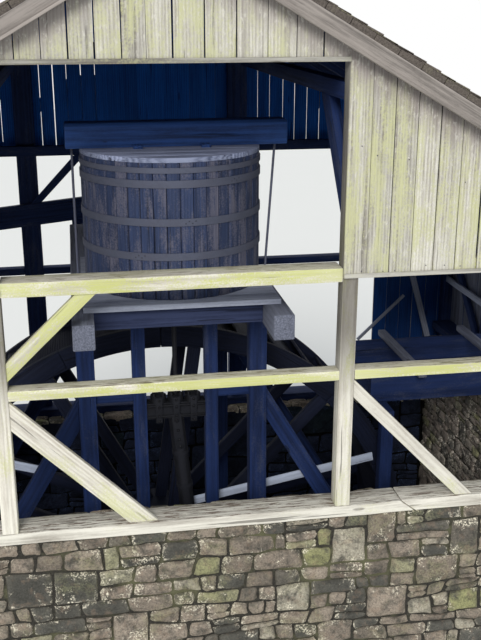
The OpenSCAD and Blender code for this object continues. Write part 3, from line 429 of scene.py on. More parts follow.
def finishes(scene):
    """Makes every finish once; each is then found by its name"""
    made = bpy.data.materials
    if "hoop iron" in made:
        return made
    wood, board = scene.house_timber, scene.house_boards
    rubble, machine = scene.house_rubble, scene.house_machine
    stone_finish("rubble stone", rubble)
    # Painted shade: very dark blue copy of the rubble for the stones inside the pit
    stone_finish("pit painted shade stone", rubble, (0.06, 0.10, 0.26))
    # Painted shade: a dimmed, bluish copy of the rubble for the wall beside the flume, lighter than the pit's
    stone_finish("flume wall stone", rubble, (0.8, 0.8, 0.86))
    joint_finish("deep joints", rubble)
    # Painted shade: near-black copy of the joints for the faces inside the pit
    joint_finish("pit painted shade joints", rubble, 0.03)
    for name, pale, dark, growth, traits in (
            ("lichened wood", wood.grey, wood.grey_dark, wood.lichen,
             dict(cover=0.95, knots=0.4, streaks=0.35, contrast=0.9, flecks=0.75)),
            ("pale wood", shade(wood.grey, 0.95), wood.grey_dark, wood.lichen,
             dict(cover=0.35, knots=0.3, streaks=0.2, contrast=0.8, flecks=0.4)),
            ("post wood", wood.grey, wood.grey_dark, wood.lichen,
             dict(cover=0.35, knots=0.5, streaks=0.4, contrast=0.9, shaded=(6.3, 7.2, 1.0))),
            ("sill wood", shade(wood.grey, 1.04), shade(wood.grey_dark, 0.8), wood.lichen,
             dict(cover=0.1, knots=0.4, streaks=0.4, flecks=0.9, topping=0.05)),
            # Painted shade: dark blue copy of the weathered wood, laid on the faces inside the house
            ("painted shade wood", shade(wood.inside, 0.92), wood.shaded_inside_grain, linear(70, 74, 88),
             dict(cover=0.3, knots=0.3, streaks=0.3, wear=0.5)),
            ("platform wood", shade(wood.platform, 1.15), shade(wood.platform, 0.4), None,
             dict(USUAL_WEAR, wear=0.4, contrast=0.9)),
            ("dusty wood", wood.dusty, shade(wood.dusty, 0.35), None, dict(USUAL_WEAR, wear=0.05, contrast=0.9)),
            ("lid wood", linear(150, 158, 186), linear(58, 66, 92), None,
             dict(knots=0.3, streaks=0.7, wear=0.0, contrast=1.1, ends=0.15)),
            # Painted shade: saturated blue standing for the deep shade on the rear boards' inner faces, darker still
            # below 7.55 m
            ("inner painted shade board wood", linear(22, 88, 176), linear(14, 52, 108), None,
             dict(USUAL_WEAR, wear=0.2, shaded=(7.95, 7.55, 0.8))),
            # Painted shade: darker copy of the beam finish for the cross beams in shade under the platform's edge
            ("cross beam wood", linear(52, 60, 88), linear(22, 28, 50), None, dict(USUAL_WEAR, wear=0.5)),
            # Painted light: pale planks with the sky's blue on their tops painted into every face
            ("plank wood", wood.plank, shade(wood.plank, 0.45), None, dict(knots=0.3, streaks=0.3, contrast=0.8)),
            ("siding wood", board.grey, board.grey_dark, board.lichen,
             dict(cover=0.68, knots=1.0, streaks=0.5, wear=0.2, eaves=True)),
            ("rear board wood", shade(board.grey, 0.76), shade(board.grey_dark, 0.6), board.lichen,
             dict(cover=0.3, knots=0.8, streaks=0.5, wear=0.2)),
            ("rake wood", board.rake, shade(board.rake, 0.25), None,
             dict(knots=1.0, streaks=0.75, wear=0.5, contrast=1.2)),
            ("shingle wood", board.shingle, shade(board.shingle, 0.4), board.lichen, dict(cover=0.2, streaks=0.5)),
            ("tub wood", machine.tub, machine.tub_dark, linear(98, 96, 108),
             dict(cover=0.5, knots=0.2, streaks=0.5, damp=0.3, wear=0.3)),
            # Painted shade: this blue stands for the shade on the top beam and lid battens under the roof
            ("beam wood", linear(44, 76, 136), machine.tub_dark, None,
             dict(knots=0.2, streaks=0.4, damp=0.1, wear=0.5)),
            ("wheel wood", machine.wet_wood, shade(machine.wet_wood, 0.4), None,
             dict(knots=0.2, streaks=0.5, damp=0.1, wear=0.3))):
        wood_finish(name, pale, dark, growth, **traits)
    iron_finish("old iron", machine, 0.35)
    iron_finish("dark iron", machine, 0.08, 0.14)
    iron_finish("hoop iron", machine, 0.25, 0.78)
    return made


def square_to(way):
    """Two directions square to a third"""
    side = way.cross(UP if abs(way.z) < 0.9 else BACK).normalized()
    return side, way.cross(side)


class Heap:
    """Collects the corners and faces of many parts for one piece, whose name seeds their wear"""

    def __init__(self, name):
        self.name = name
        self.corners, self.faces = [], []
        self.grain, self.tone, self.ends, self.slots = [], [], [], []
        self.rng = random.Random(name)
        noise.seed_set(NOISE_SEED)

    def add(self, corners, faces, along, slot=0, ends=None):
        """Adds one closed part whose grain runs along a direction"""
        start = len(self.corners)
        self.tone += [self.rng.random()] * len(corners)
        self.corners += [tuple(c) for c in corners]
        axis = along.normalized()
        side, other = square_to(axis)
        middle = sum((Vector(c) for c in corners), Vector()) / len(corners)
        widths = [
            max(spread) - min(spread) for spread in ([Vector(c).dot(way) for c in corners] for way in (side, other))]
        away = 0.0 if min(widths) > 0.09 else 0.10
        heart = Vector((away + self.rng.uniform(-0.03, 0.03), self.rng.uniform(-0.03, 0.03), self.rng.uniform(0, 40)))
        for c in corners:
            d = Vector(c) - middle
            self.grain.append((d.dot(side) + heart.x, d.dot(other) + heart.y, d.dot(axis) + heart.z))
        for face in faces:
            self.faces.append([start + i for i in face])
            a, b, c = (Vector(corners[i]) for i in (face[0], face[1], face[len(face) // 2 + 1 if len(face) > 3 else 2]))
            across = (b - a).cross(c - a)
            flat = across.length > 1e-12 and abs(across.normalized().dot(axis)) > 0.8
            self.ends.append(1.0 if (flat if ends is None else ends) else 0.0)
            self.slots.append(slot)

    def take(self, part, along, slot=0, ends=None):
        """Adds a solid and frees it"""
        part.verts.index_update()
        faces = [[v.index for v in f.verts] for f in part.faces]
        self.add([v.co.copy() for v in part.verts], faces, along, slot, ends)
        part.free()

    def piece(self, finish_list, slot_name, smooth=WOOD_SMOOTH, replaced=(), body=HOUSE):
        """Makes the piece and puts it on its body"""
        mesh = bpy.data.meshes.new(self.name)
        mesh.from_pydata(self.corners, [], self.faces)
        mesh.update()
        made = bpy.data.objects.new(self.name, mesh)
        bpy.context.scene.collection.objects.link(made)
        for finish in finish_list:
            mesh.materials.append(finish)
        mesh.polygons.foreach_set("material_index", self.slots)
        for name, kind, domain, key, values in (
                ("grain", "FLOAT_VECTOR", "POINT", "vector", [v for g in self.grain for v in g]),
                ("tone", "FLOAT", "POINT", "value", self.tone),
                ("end_face", "FLOAT", "FACE", "value", self.ends)):
            mesh.attributes.new(name, kind, domain).data.foreach_set(key, values)
        if smooth:
            mesh.polygons.foreach_set("use_smooth", [True] * len(mesh.polygons))
            mesh.set_sharp_from_angle(angle=math.radians(smooth))
        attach(made, body)
        if replaced:
            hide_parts(*replaced)
        return made


def repaint(piece, *finishes_and_tests):
    """Gives the faces that pass a test of normal and centre another finish"""
    for finish, test in finishes_and_tests:
        slot = len(piece.data.materials)
        piece.data.materials.append(finish)
        for face in piece.data.polygons:
            if test(face.normal, face.center):
                face.material_index = slot


def face_out(piece, finish):
    """Gives the outward faces of the side and rear frames the weathered finish; inward faces keep their painted shade
    """
    repaint(piece, (finish, lambda n, c: (c.y > 2.5 and n.y > 0.6) or (
        abs(c.x) > FACE_X - 0.2 and c.y > -2.5 and n.x * c.x > 0.6 * abs(c.x))))


def line_inside(piece, gable_shade_finish, side_finish=None):
    """Gives the faces of a wall's boards that look into the house their finish with painted shade"""
    def in_gable(n, c):
        return abs(n.y) > 0.5 and n.y * c.y < 0

    repaint(piece, (gable_shade_finish, in_gable), (side_finish or gable_shade_finish, lambda n, c: not in_gable(n, c) and (
        abs(n.x) > 0.5 and n.x * c.x < 0 and abs(c.x) > FACE_X - 0.01)))


def solids_of(node):
    """The separate solids of a CAD node, each a clean bmesh"""
    whole = bmesh.new()
    whole.from_mesh(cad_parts[node].data)
    bmesh.ops.remove_doubles(whole, verts=whole.verts, dist=1e-4)
    bmesh.ops.dissolve_limit(whole, angle_limit=0.01, verts=whole.verts, edges=whole.edges)
    whole.faces.ensure_lookup_table()
    found, left = [], set(whole.faces)
    for first in whole.faces:
        if first not in left:
            continue
        left.remove(first)
        queue, group = [first], []
        while queue:
            face = queue.pop()
            group.append(face)
            for other in {f for edge in face.edges for f in edge.link_faces} & left:
                left.remove(other)
                queue.append(other)
        group.sort(key=lambda f: f.index)
        one, corner = bmesh.new(), {}
        for face in group:
            for vert in face.verts:
                if vert.index not in corner:
                    corner[vert.index] = one.verts.new(vert.co)
            one.faces.new([corner[vert.index] for vert in face.verts])
        one.normal_update()
        found.append(one)
    found.sort(key=lambda b: tuple(round(v, 3) for v in middle_of(b)))
    whole.free()
    return found


def middle_of(part):
    return sum((v.co for v in part.verts), Vector()) / len(part.verts)


def span_of(part, way):
    """Where a solid begins and ends along a direction"""
    spots = [v.co.dot(way) for v in part.verts]
    return min(spots), max(spots)


def longest_way(part):
    edge = max(part.edges, key=lambda e: round(e.calc_length(), 4))
    way = (edge.verts[1].co - edge.verts[0].co).normalized()
    return way if way.dot(Vector((0.31, 0.53, 0.79))) > 0 else -way


def cut(part, point, way, keep=None):
    """Cuts a solid on a plane; keep is +1 or -1 for the side that stays, closed again"""
    geometry = list(part.verts) + list(part.edges) + list(part.faces)
    bmesh.ops.bisect_plane(
        part, geom=geometry, dist=1e-6, plane_co=point, plane_no=way,
        clear_outer=keep == -1, clear_inner=keep == 1)
    if keep:
        open_edges = [e for e in part.edges if e.is_boundary]
        if open_edges:
            bmesh.ops.holes_fill(part, edges=open_edges, sides=0)
        bmesh.ops.recalc_face_normals(part, faces=part.faces)


def age(part, way, heap, arris, bow, step=0.4, rag=0.35, slot=0):
    """Gives a squared solid worn edges and a slight bow, and adds it to the heap"""
    rng = heap.rng
    low, high = span_of(part, way)
    count = max(1, int((high - low) / step))
    for i in range(1, count):
        cut(part, way * (low + (high - low) * (i + rng.uniform(-0.2, 0.2)) / count), way)
    sharp = [e for e in part.edges if len(e.link_faces) == 2 and e.calc_face_angle(0) > 0.5]
    bmesh.ops.bevel(
        part, geom=sharp, offset=arris * rng.uniform(0.8, 1.3), segments=2, profile=0.55, affect="EDGES",
        clamp_overlap=True)
    side, other = square_to(way)
    seed = Vector([rng.uniform(0, 50) for _ in range(3)])
    for vert in part.verts:
        drift = Vector(((vert.co.dot(way) - low) * 0.55, 0, 0)) + seed
        wave = noise.noise_vector(vert.co * 2.3 + seed) * bow * rag
        vert.co += side * noise.noise(drift) * bow + other * noise.noise(drift + Vector((0, 9, 0))) * bow
        vert.co += wave - way * wave.dot(way)
    heap.take(part, way, slot)


class Box:
    """Makes squared solids from lengths along three directions"""

    def __init__(self, origin, *ways):
        self.origin, self.ways = Vector(origin), [Vector(way) for way in ways]

    def solid(self, *spans):
        part = bmesh.new()
        corner = {}
        for i in range(8):
            place = self.origin.copy()
            for axis in range(3):
                place += self.ways[axis] * spans[axis][i >> axis & 1]
            corner[i] = part.verts.new(place)
        for loop in ((0, 1, 3, 2), (4, 6, 7, 5), (0, 4, 5, 1), (2, 3, 7, 6), (0, 2, 6, 4), (1, 5, 7, 3)):
            part.faces.new([corner[i] for i in loop])
        bmesh.ops.recalc_face_normals(part, faces=part.faces)
        return part


def dress(name, nodes, woods, slot_name, kit, body=HOUSE, choose=None, way=None, arris=1.0, bow=1.0, step=0.4):
    """A piece that stands for timber nodes, each timber aged along its own grain"""
    heap = Heap(name)
    for node in nodes:
        for part in solids_of(node):
            pick = choose(middle_of(part)) if choose else 0
            age(part, way or longest_way(part), heap, kit.arris * arris, kit.bow * bow, step, slot=pick)
    return heap.piece(woods, slot_name, replaced=nodes, body=body)


def saw(part, way, cuts, gap, heap, run, kit, shift=0.0):
    """Saws a panel into boards at the given places across it; gap is a number or a function of the place"""
    low, high = span_of(part, way)
    places = [low - 1] + [c for c in cuts if low + 0.03 < c < high - 0.03] + [high + 1]
    for near, far in zip(places, places[1:]):
        board = part.copy()
        near_gap, far_gap = (gap(near), gap(far)) if callable(gap) else (gap, gap)
        cut(board, way * (near + near_gap * heap.rng.uniform(0.3, 0.7)), way, 1)
        cut(board, way * (far - far_gap * heap.rng.uniform(0.3, 0.7)), way, -1)
        if len(board.verts) <= 5:
            board.free()
            continue
        if shift:
            move = way.cross(run).normalized() * heap.rng.uniform(-shift, shift)
            for vert in board.verts:
                vert.co += move
        age(board, run, heap, SAWN_EDGE, kit.bow * 0.7, 0.45, 0.5)
    part.free()


def stone_outlines(rng, wide, high, stone_w, stone_h, joint):
    """Rough courses of rubble: wavy beds, some stones two courses high, some split into flat ones"""
    levels, seed = [0.0], rng.uniform(0, 90)
    while levels[-1] < high:
        levels.append(levels[-1] + stone_h * rng.uniform(0.68, 1.5))
    levels = [level * high / levels[-1] for level in levels]
    last = len(levels) - 1

    def bed(row, x):
        if row in (0, last):
            return levels[row]
        wave = noise.noise(Vector((x * 1.1, row * 5.3, seed))) * 0.34
        wave += noise.noise(Vector((x * 4.3, row * 7.1, seed + 5))) * 0.16
        return levels[row] + stone_h * wave

    taken = []
    for row in range(last):
        h = levels[row + 1] - levels[row]
        free, x = [], 0.0
        for a, b in sorted(taken) + [(wide, wide)]:
            if a - x > 0.03:
                free.append((x, a))
            x = b
        taken = []
        for near, far in free:
            x, lean = near, 0.0
            while x < far - 0.01:
                w = stone_w * rng.triangular(0.35, 2.0, 0.8)
                if far - x - w < 0.4 * stone_w:
                    w = far - x
                tall = row < last - 1 and w > 1.1 * stone_w and rng.random() < 0.22
                next_lean = 0.0 if tall or x + w >= far - 0.01 else rng.uniform(-0.14, 0.14) * h
                if tall:
                    taken.append((x, x + w))
                    lean = 0.0
                foot, head = (lambda at: bed(row, at)), (lambda at, top=row + (2 if tall else 1): bed(top, at))
                parts = [(foot, head)]
                if not tall and h > 0.85 * stone_h and rng.random() < 0.2:
                    share, tilt, middle = rng.uniform(0.38, 0.62), rng.uniform(-0.05, 0.05), x + w / 2

                    def split(at):
                        return foot(at) + (head(at) - foot(at)) * share + (at - middle) * tilt

                    parts = [(foot, split), (split, head)]
                for low, top in parts:
                    corners = (x - lean, low), (x + w - next_lean, low), (x + w + next_lean, top), (x + lean, top)
                    yield stone_edge(rng, corners, joint)
                x, lean = x + w, next_lean


def stone_edge(rng, corners, joint):
    """The outline of one stone between its neighbours, with broken corners and uneven edges"""
    low, top = corners[0][1], corners[2][1]
    corners = [(x, line(x)) for x, line in corners]
    points = []
    for i, (x0, y0) in enumerate(corners):
        x1, y1 = corners[(i + 1) % 4]
        run = math.hypot(x1 - x0, y1 - y0)
        if run < 0.02:
            continue
        off = min(rng.uniform(0.014, 0.042), run * 0.34)
        for t in [off / run] + ([0.33, 0.66] if run > 0.2 else [0.5]) + [1 - off / run]:
            x, y = x0 + t * (x1 - x0), y0 + t * (y1 - y0)
            if i in (0, 2):
                y = (low if i == 0 else top)(x)
            inward = joint / 2 * rng.uniform(0.4, 2.1)
            points.append((x + (y0 - y1) / run * inward, y + (x1 - x0) / run * inward))
    return points


def bands(count, rings, flip=False):
    """Faces that join rings of corners, each ring to the next"""
    faces = []
    for k in range(rings - 1):
        for i in range(count):
            a, b = ((i + 1) % count, i) if flip else (i, (i + 1) % count)
            faces.append([k * count + a, k * count + b, (k + 1) * count + b, (k + 1) * count + a])
    return faces


def lay_stone(heap, outline, origin, right, up, out, deep, proud, detail=True):
    """One stone: its outline set into the wall, its face swelling out past rounded edges"""
    rng, count = heap.rng, len(outline)
    xs, ys = zip(*outline)
    cx, cy = sum(xs) / count, sum(ys) / count
    size = min(max(xs) - min(xs), max(ys) - min(ys))
    if size < 0.025:
        return
    lean_x, lean_y = rng.uniform(-0.05, 0.05), rng.uniform(-0.07, 0.07)
    face = proud + rng.uniform(-0.010, 0.010)
    edge = min(0.026, size * 0.17)
    levels = [(1.0, -deep), (1.0, face - edge * 1.1), (1 - 2 * edge / size * 0.55, face - edge * 0.22)]
    if detail:
        levels.append((0.55, face + size * rng.uniform(0.0, 0.05)))
    corners = []
    for k, (scale, level) in enumerate(levels):
        for x, y in outline:
            px, py = cx + (x - cx) * scale, cy + (y - cy) * scale
            rise = level
            if k:
                rise += (px - cx) * lean_x + (py - cy) * lean_y + rng.uniform(-0.005, 0.005)
            corners.append(origin + right * px + up * py + out * rise)
    top = levels[-1][1] + rng.uniform(0.0, 0.006)
    corners.append(origin + right * cx + up * cy + out * top)
    faces = [list(reversed(range(count)))] + bands(count, len(levels))
    last = (len(levels) - 1) * count
    faces += [[last + i, last + (i + 1) % count, len(corners) - 1] for i in range(count)]
    heap.add(corners, faces, out, ends=False)


def lay_face(heap, facing, origin, wide, high, kit, scale=1.0, keep=None, proud=0.0, detail=True):
    """Fills one wall face with stones; keep says which places get one"""
    origin, right, up, out = (Vector(v) for v in (origin,) + FACING[facing])
    for outline in stone_outlines(heap.rng, wide, high, kit.stone_w * scale, kit.stone_h * scale, kit.joint):
        cx, cy = (sum(values) / len(outline) for values in zip(*outline))
        if keep is None or keep(cx, cy, outline):
            lay_stone(heap, outline, origin, right, up, out, kit.recess + 0.02, proud, detail)


def set_back(name, node, woods, moves):
    """A copy of a wall whose faces lie back behind the stones; moves are (axis, place, shift)"""
    heap = Heap(name)
    for part in solids_of(node):
        for vert in part.verts:
            for axis, place, shift in moves:
                if abs(vert.co[axis] - place) < 0.004:
                    vert.co[axis] += shift
        heap.take(part, UP, ends=False)
    bed, shaded_joints = woods
    # Painted shade: wall bed faces inside the pit and the bench beds take the near-black joint finish
    repaint(heap.piece([bed], "rubble_stone", None, [node]), (shaded_joints, lambda n, c: (
        n.y * c.y < -0.5 or (n.x > 0.5 and c.x < 0) or (abs(c.x) < 1 and abs(c.y) < INNER_Y))))


class HouseOperator:
    """What every operator of the wheel house shares"""
    bl_options = {"REGISTER", "UNDO"}


class WHEELHOUSE_OT_walls(HouseOperator, bpy.types.Operator):
    """Lay the rubble stone of the pit walls"""
    bl_idname = "wheelhouse.walls"
    bl_label = "Stone walls"

    def execute(self, context):
        kit, made = context.scene.house_rubble, finishes(context.scene)
        back, stone = kit.recess, made["rubble stone"]
        ends = [(0, FACE_X, -back), (0, -FACE_X, back)]
        for name, node, moves in (
                ("front_wall_bed", "front_stone_wall", ends + [(1, -FACE_Y, back), (1, -INNER_Y, -back)]),
                ("rear_wall_bed", "rear_stone_wall", ends + [(1, FACE_Y, -back), (1, INNER_Y, back)]),
                ("left_wall_bed", "left_stone_wall", [(0, -FACE_X, back), (0, -INNER_X, -back)]),
                ("right_wall_bed", "right_stone_wall", [(0, FACE_X, -back), (0, INNER_X, back)]),
                ("bench_beds", "bearing_walls",
                 [(1, RACE_FRONT, -back), (1, RACE_REAR, back), (2, BENCH_TOP, -0.02)])):
            set_back(name, node, (made["deep joints"], made["pit painted shade joints"]), moves)

        def on_left(x, z, outline):
            y = FACE_Y - x
            return not (y > INNER_Y and z > REAR_TOP) and not in_arch(y, z, outline, FACE_Y, -1)

        def on_right(x, z, outline):
            return not (x - FACE_Y > INNER_Y and z > REAR_TOP)

        for facing, corner, wide, high, keep in (
                ("front", (-FACE_X, -FACE_Y, 0), FACE_X, WALL_TOP, None),
                ("rear", (FACE_X, FACE_Y, 0), FACE_X, REAR_TOP, None),
                ("left", (-FACE_X, FACE_Y, 0), FACE_Y, WALL_TOP, on_left),
                ("right", (FACE_X, -FACE_Y, 0), FACE_Y, WALL_TOP, on_right)):
            wall = Heap(facing + "_wall_stones")
            lay_face(wall, facing, corner, 2 * wide, high, kit, keep=keep)
            if facing == "left":
                ring_arch(wall, -FACE_X, -1)
            wall.piece([stone], "rubble_stone", STONE_SMOOTH)

        def in_race(y, z):
            return z > BENCH_TOP or RACE_FRONT < y < RACE_REAR

        inner, flume_wall = Heap("pit_stones"), Heap("flume_wall_stones")
        large, above, wide = kit.inner_scale, BENCH_TOP, 2 * INNER_X
        lay_face(inner, "rear", (INNER_X, -INNER_Y, above), wide, WALL_TOP - above, kit, large, detail=False)
        lay_face(inner, "front", (-INNER_X, INNER_Y, above), wide, REAR_TOP - above, kit, large)
        lay_face(
            inner, "right", (-INNER_X, -INNER_Y, 0), 2 * INNER_Y, WALL_TOP, kit, large,
            lambda x, z, outline: in_race(x - INNER_Y, z) and not in_arch(x - INNER_Y, z, outline, -INNER_Y, 1))
        ring_arch(inner, -INNER_X, 1)
        lay_face(
            flume_wall, "left", (INNER_X, INNER_Y, 0), 2 * INNER_Y, WALL_TOP, kit, kit.flume_wall_scale,
            lambda x, z, outline: in_race(INNER_Y - x, z), detail=False)
        flume_wall.piece([made["flume wall stone"]], "rubble_stone", STONE_SMOOTH)
        lay_face(inner, "rear", (INNER_X, RACE_FRONT, 0), wide, above, kit, large, detail=False)
        lay_face(inner, "front", (-INNER_X, RACE_REAR, 0), wide, above, kit, large, detail=False)
        for y, deep in ((-INNER_Y, RACE_FRONT + INNER_Y), (RACE_REAR, INNER_Y - RACE_REAR)):
            lay_face(inner, "top", (-INNER_X, y, above), wide, deep, kit, BENCH_SCALE, detail=False)
        # Painted shade: the stones inside the pit take the very dark blue copy of the rubble
        inner.piece([made["pit painted shade stone"]], "rubble_stone", STONE_SMOOTH)

        tops = Heap("wall_top_stones")
        for x, y, z, wide, deep, proud in (
                (-FACE_X, -INNER_Y - END_TOP_W, WALL_TOP, 2 * FACE_X, END_TOP_W, 0.012),
                (-FACE_X, INNER_Y, REAR_TOP, 2 * FACE_X, END_TOP_W, 0.03),
                (SIDE_TOP_X, -INNER_Y, WALL_TOP, SIDE_TOP_W, 2 * INNER_Y, 0.015),
                (INNER_X, -INNER_Y, WALL_TOP, SIDE_TOP_W, 2 * INNER_Y, 0.015)):
            lay_face(tops, "top", (x, y, z), wide, deep, kit, TOP_SCALE, proud=proud)
        tops.piece([stone], "rubble_stone", STONE_SMOOTH)
        return {"FINISHED"}


def in_arch(y, z, outline, edge, sign):
    """Whether a stone of an end wall would stand in the tail race arch or its ring"""
    for px, pz in outline:
        aside = edge + sign * px - ARCH_Y
        if (abs(aside) if pz < ARCH_SPRING else math.hypot(aside, pz - ARCH_SPRING)) < ARCH_R + ARCH_CLEAR:
            return True
    return (abs(y - ARCH_Y) if z < ARCH_SPRING else math.hypot(y - ARCH_Y, z - ARCH_SPRING)) < ARCH_R + ARCH_RING


def ring_arch(heap, x, side):
    """The wedge stones and jambs of the tail race arch on one face"""
    def lay(outline, proud):
        lay_stone(heap, outline if side > 0 else outline[::-1], Vector((x, 0, 0)), BACK, UP, RIGHT * side, 0.06, proud)

    for i in range(ARCH_STONES):
        a0, a1 = math.pi * i / ARCH_STONES + 0.012, math.pi * (i + 1) / ARCH_STONES - 0.012
        radii = ARCH_R, ARCH_R + 0.12, ARCH_R + 0.25 + heap.rng.uniform(-0.03, 0.03)
        lay([(ARCH_Y + r * math.cos(a), ARCH_SPRING + r * math.sin(a))
             for a, rs in ((a0, radii), (a1, radii[::-1])) for r in rs], 0.02)
    for side_y in (-1, 1):
        z = 0.0
        while z < ARCH_SPRING - 0.05:
            tall = min(heap.rng.uniform(0.17, 0.25), ARCH_SPRING - z)
            wide = heap.rng.uniform(0.2, 0.32)
            y0, y1 = sorted((ARCH_Y + side_y * ARCH_R, ARCH_Y + side_y * (ARCH_R + wide)))
            low, high = z + 0.008, z + tall - 0.008
            lay([(y0, low), (y1, low), (y1, high), (y0, high)], 0.015)
            z += tall


class WHEELHOUSE_OT_frame(HouseOperator, bpy.types.Operator):
    """Age the timbers of the house frame"""
    bl_idname = "wheelhouse.frame_timbers"
    bl_label = "House frame"

    def execute(self, context):
        kit, made = context.scene.house_timber, finishes(context.scene)
        # Painted shade: timbers inside the house take the dark inside finish
        pale, mossy, inside, post = (
            made[name] for name in ("pale wood", "lichened wood", "painted shade wood", "post wood"))

        # Painted shade: timbers behind the front frame take slot 1, the dark inside finish
        def by_front(c):
            return 0 if c.y < FRONT_LINE else 1

        # Painted shade: braces inside the house and in the rear and side walls take slot 1, the dark inside finish
        def brace(c):
            if c.y > -2.4 and c.z > 7 or c.y > 2 or abs(c.x) > 4.6:
                return 1
            return 2 if c.z > 6.4 else 0

        def framed(name, nodes, woods, slot_name, **traits):
            face_out(dress(name, nodes, woods, slot_name, kit, **traits), made["rear board wood"])

        framed("girt_and_rails", ["front_girt", "middle_rails"], [mossy, inside], "lichened_timber",
               choose=by_front, bow=1.6)
        framed("house_posts", ["posts"], [post, inside], "pale_timber", choose=by_front, bow=1.4)
        framed("braces", ["wall_braces"], [pale, inside, mossy], "pale_timber", choose=brace, bow=1.4)
        sill = Heap("front_sill_timber")
        scarf = Vector((0.62, 0.0, 0.78)).normalized()
        for part in solids_of("front_sill"):
            for side in (-1, 1):
                half = part.copy()
                cut(half, Vector((SCARF_X, 0, WALL_TOP + 0.06)) + scarf * side * 0.003, scarf, side)
                age(half, RIGHT, sill, kit.arris * 1.5, kit.bow * 2.2, 0.25, 0.8)
            part.free()
        sill.piece([made["sill wood"]], "lichened_timber", replaced=["front_sill"])
        framed("side_and_rear_sills", ["side_sills", "rear_sill"], [inside], "lichened_timber")
        framed("headers_and_plates", ["headers", "side_plates", "tie_beams"], [inside], "machine_timber")
        dress("rear_beams", ["slope_beam", "slope_beam_props"], [inside], "machine_timber", kit, bow=2.0)
        dress("roof_rafters", ["rafters", "ridge_beam"], [inside], "machine_timber", kit)
        return {"FINISHED"}


def slope(side):
    """The directions down and out of one side of the roof"""
    return (Vector((side * math.cos(PITCH), 0, -math.sin(PITCH))),
            Vector((side * math.sin(PITCH), 0, math.cos(PITCH))))


class WHEELHOUSE_OT_boards(HouseOperator, bpy.types.Operator):
    """Nail the siding boards on the gables and sides"""
    bl_idname = "wheelhouse.boards"
    bl_label = "Siding boards"

    def execute(self, context):
        kit, made, board = context.scene.house_timber, finishes(context.scene), context.scene.house_boards
        # Painted shade: lining is the blue finish for the boards' inner faces
        outside, shaded_lining = made["rear board wood"], made["inner painted shade board wood"]
        sides = [BAY_EDGE + board.board_w * i for i in range(1, 16)]
        cuts = sorted([-c for c in sides] + list(FRONT_CUTS) + sides)
        heap = Heap("front_siding")
        for node in ("gable_boards", "eave_boards"):
            for part in solids_of(node):
                saw(part, RIGHT, cuts, lambda c: board.gap * heap.rng.uniform(0.3, 1.9), heap, UP, kit, 0.002)
        front = heap.piece([made["siding wood"]], "siding", replaced=["gable_boards", "eave_boards"])
        # Painted shade: the front siding's inner faces take the dark inside finish
        line_inside(front, made["painted shade wood"])

        dress("drip_strips", ["drip_boards"], [outside], "siding", kit, arris=0.5)

        def slit_or_joint(place):
            if abs(place - WIDE_SLIT) < 0.01:
                return board.slit * 1.4
            return board.slit * heap.rng.uniform(0.5, 1.1) if any(abs(place - s) < 0.01 for s in REAR_SLITS) else -0.008

        plain = [-FACE_X + REAR_BOARD * i for i in range(1, 54)]
        plain = [c for c in plain if all(abs(c - s) > 0.1 for s in REAR_SLITS)]
        heap = Heap("rear_siding")
        for part in solids_of("rear_gable_boards"):
            saw(part, RIGHT, sorted(plain + list(REAR_SLITS)), slit_or_joint, heap, UP, kit, 0.003)
        for part in solids_of("corner_boards"):
            way = RIGHT if middle_of(part).y > 2.7 else BACK
            cuts = [span_of(part, way)[0] + board.board_w * i for i in range(1, 12)]
            saw(part, way, cuts, 0.003, heap, UP, kit, 0.002)
        rear = heap.piece([outside], "siding", replaced=["rear_gable_boards", "corner_boards"])
        # Painted shade: the rear gable's inner faces take the blue shade finish, the side walls' inner faces the
        # lighter platform finish
        line_inside(rear, shaded_lining, made["platform wood"])

        strips = Heap("slit_strips")
        for x, low, high in SLIT_STRIPS:
            strip = Box((x + strips.rng.uniform(-0.006, 0.006), FACE_Y + 0.03, 0), RIGHT, BACK, UP)
            age(strip.solid((-0.024, 0.024), (0, 0.014), (low, high)), UP, strips, SAWN_EDGE, 0.002)
        line_inside(strips.piece([outside], "siding"), shaded_lining)

        dress("rake_strips", ["rake_boards"], [made["rake wood"]], "rake_wood", kit, bow=1.5)
        trim = Heap("rake_mouldings")
        (_, near, low), (wide, far, _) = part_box("rake_boards")
        reach = wide / math.cos(PITCH)
        for side in (-1, 1):
            down, out = slope(side)
            foot = Vector((side * wide, 0, low))
            for y in (near, far):
                rod = Box(foot - down * (reach - 0.03) + Vector((0, y, 0)), down, BACK, out)
                across = sorted((0, -0.018 if y < 0 else 0.018))
                age(rod.solid((0, reach - 0.05), across, (0.002, 0.026)), down, trim, SAWN_EDGE, kit.bow)
        trim.piece([made["rake wood"]], "rake_wood")
        return {"FINISHED"}


class WHEELHOUSE_OT_roof(HouseOperator, bpy.types.Operator):
    """Lay the roof boards and shingles"""
    bl_idname = "wheelhouse.roof"
    bl_label = "Roof"

    def execute(self, context):
        kit, made, board = context.scene.house_timber, finishes(context.scene), context.scene.house_boards
        for side, node in ((-1, "roof_left"), (1, "roof_right")):
            down, out = slope(side)
            heap = Heap(node + "_boards")
            for part in solids_of(node):
                cuts = [span_of(part, down)[0] + ROOF_BOARD * i for i in range(1, 25)]
                saw(part, down, cuts, 0.006, heap, BACK, kit)
            sheathing = heap.piece([made["shingle wood"]], "shingles", replaced=[node])
            # Painted shade: the undersides of the roof boards take the dark inside finish
            repaint(sheathing, (made["painted shade wood"], lambda n, c: n.z < -0.3))
            shingles = Heap(node.replace("roof", "shingles"))
            lay_shingles(shingles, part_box(node), down, out, board)
            shingles.piece([made["shingle wood"]], "shingles", None)

        comb = Heap("ridge_boards")
        for side in (-1, 1):
            down, out = slope(side)
            top = Box((0, 0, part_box("roof_left")[1][2] + 0.012), down, BACK, out)
            for i in range(3):
                span = (-2.93 + 1.953 * i + 0.003, -2.93 + 1.953 * (i + 1) - 0.003)
                age(top.solid((0.0, 0.15), span, (0.004, 0.024)), BACK, comb, SAWN_EDGE, 0.003)
        comb.piece([made["shingle wood"]], "shingles")
        return {"FINISHED"}


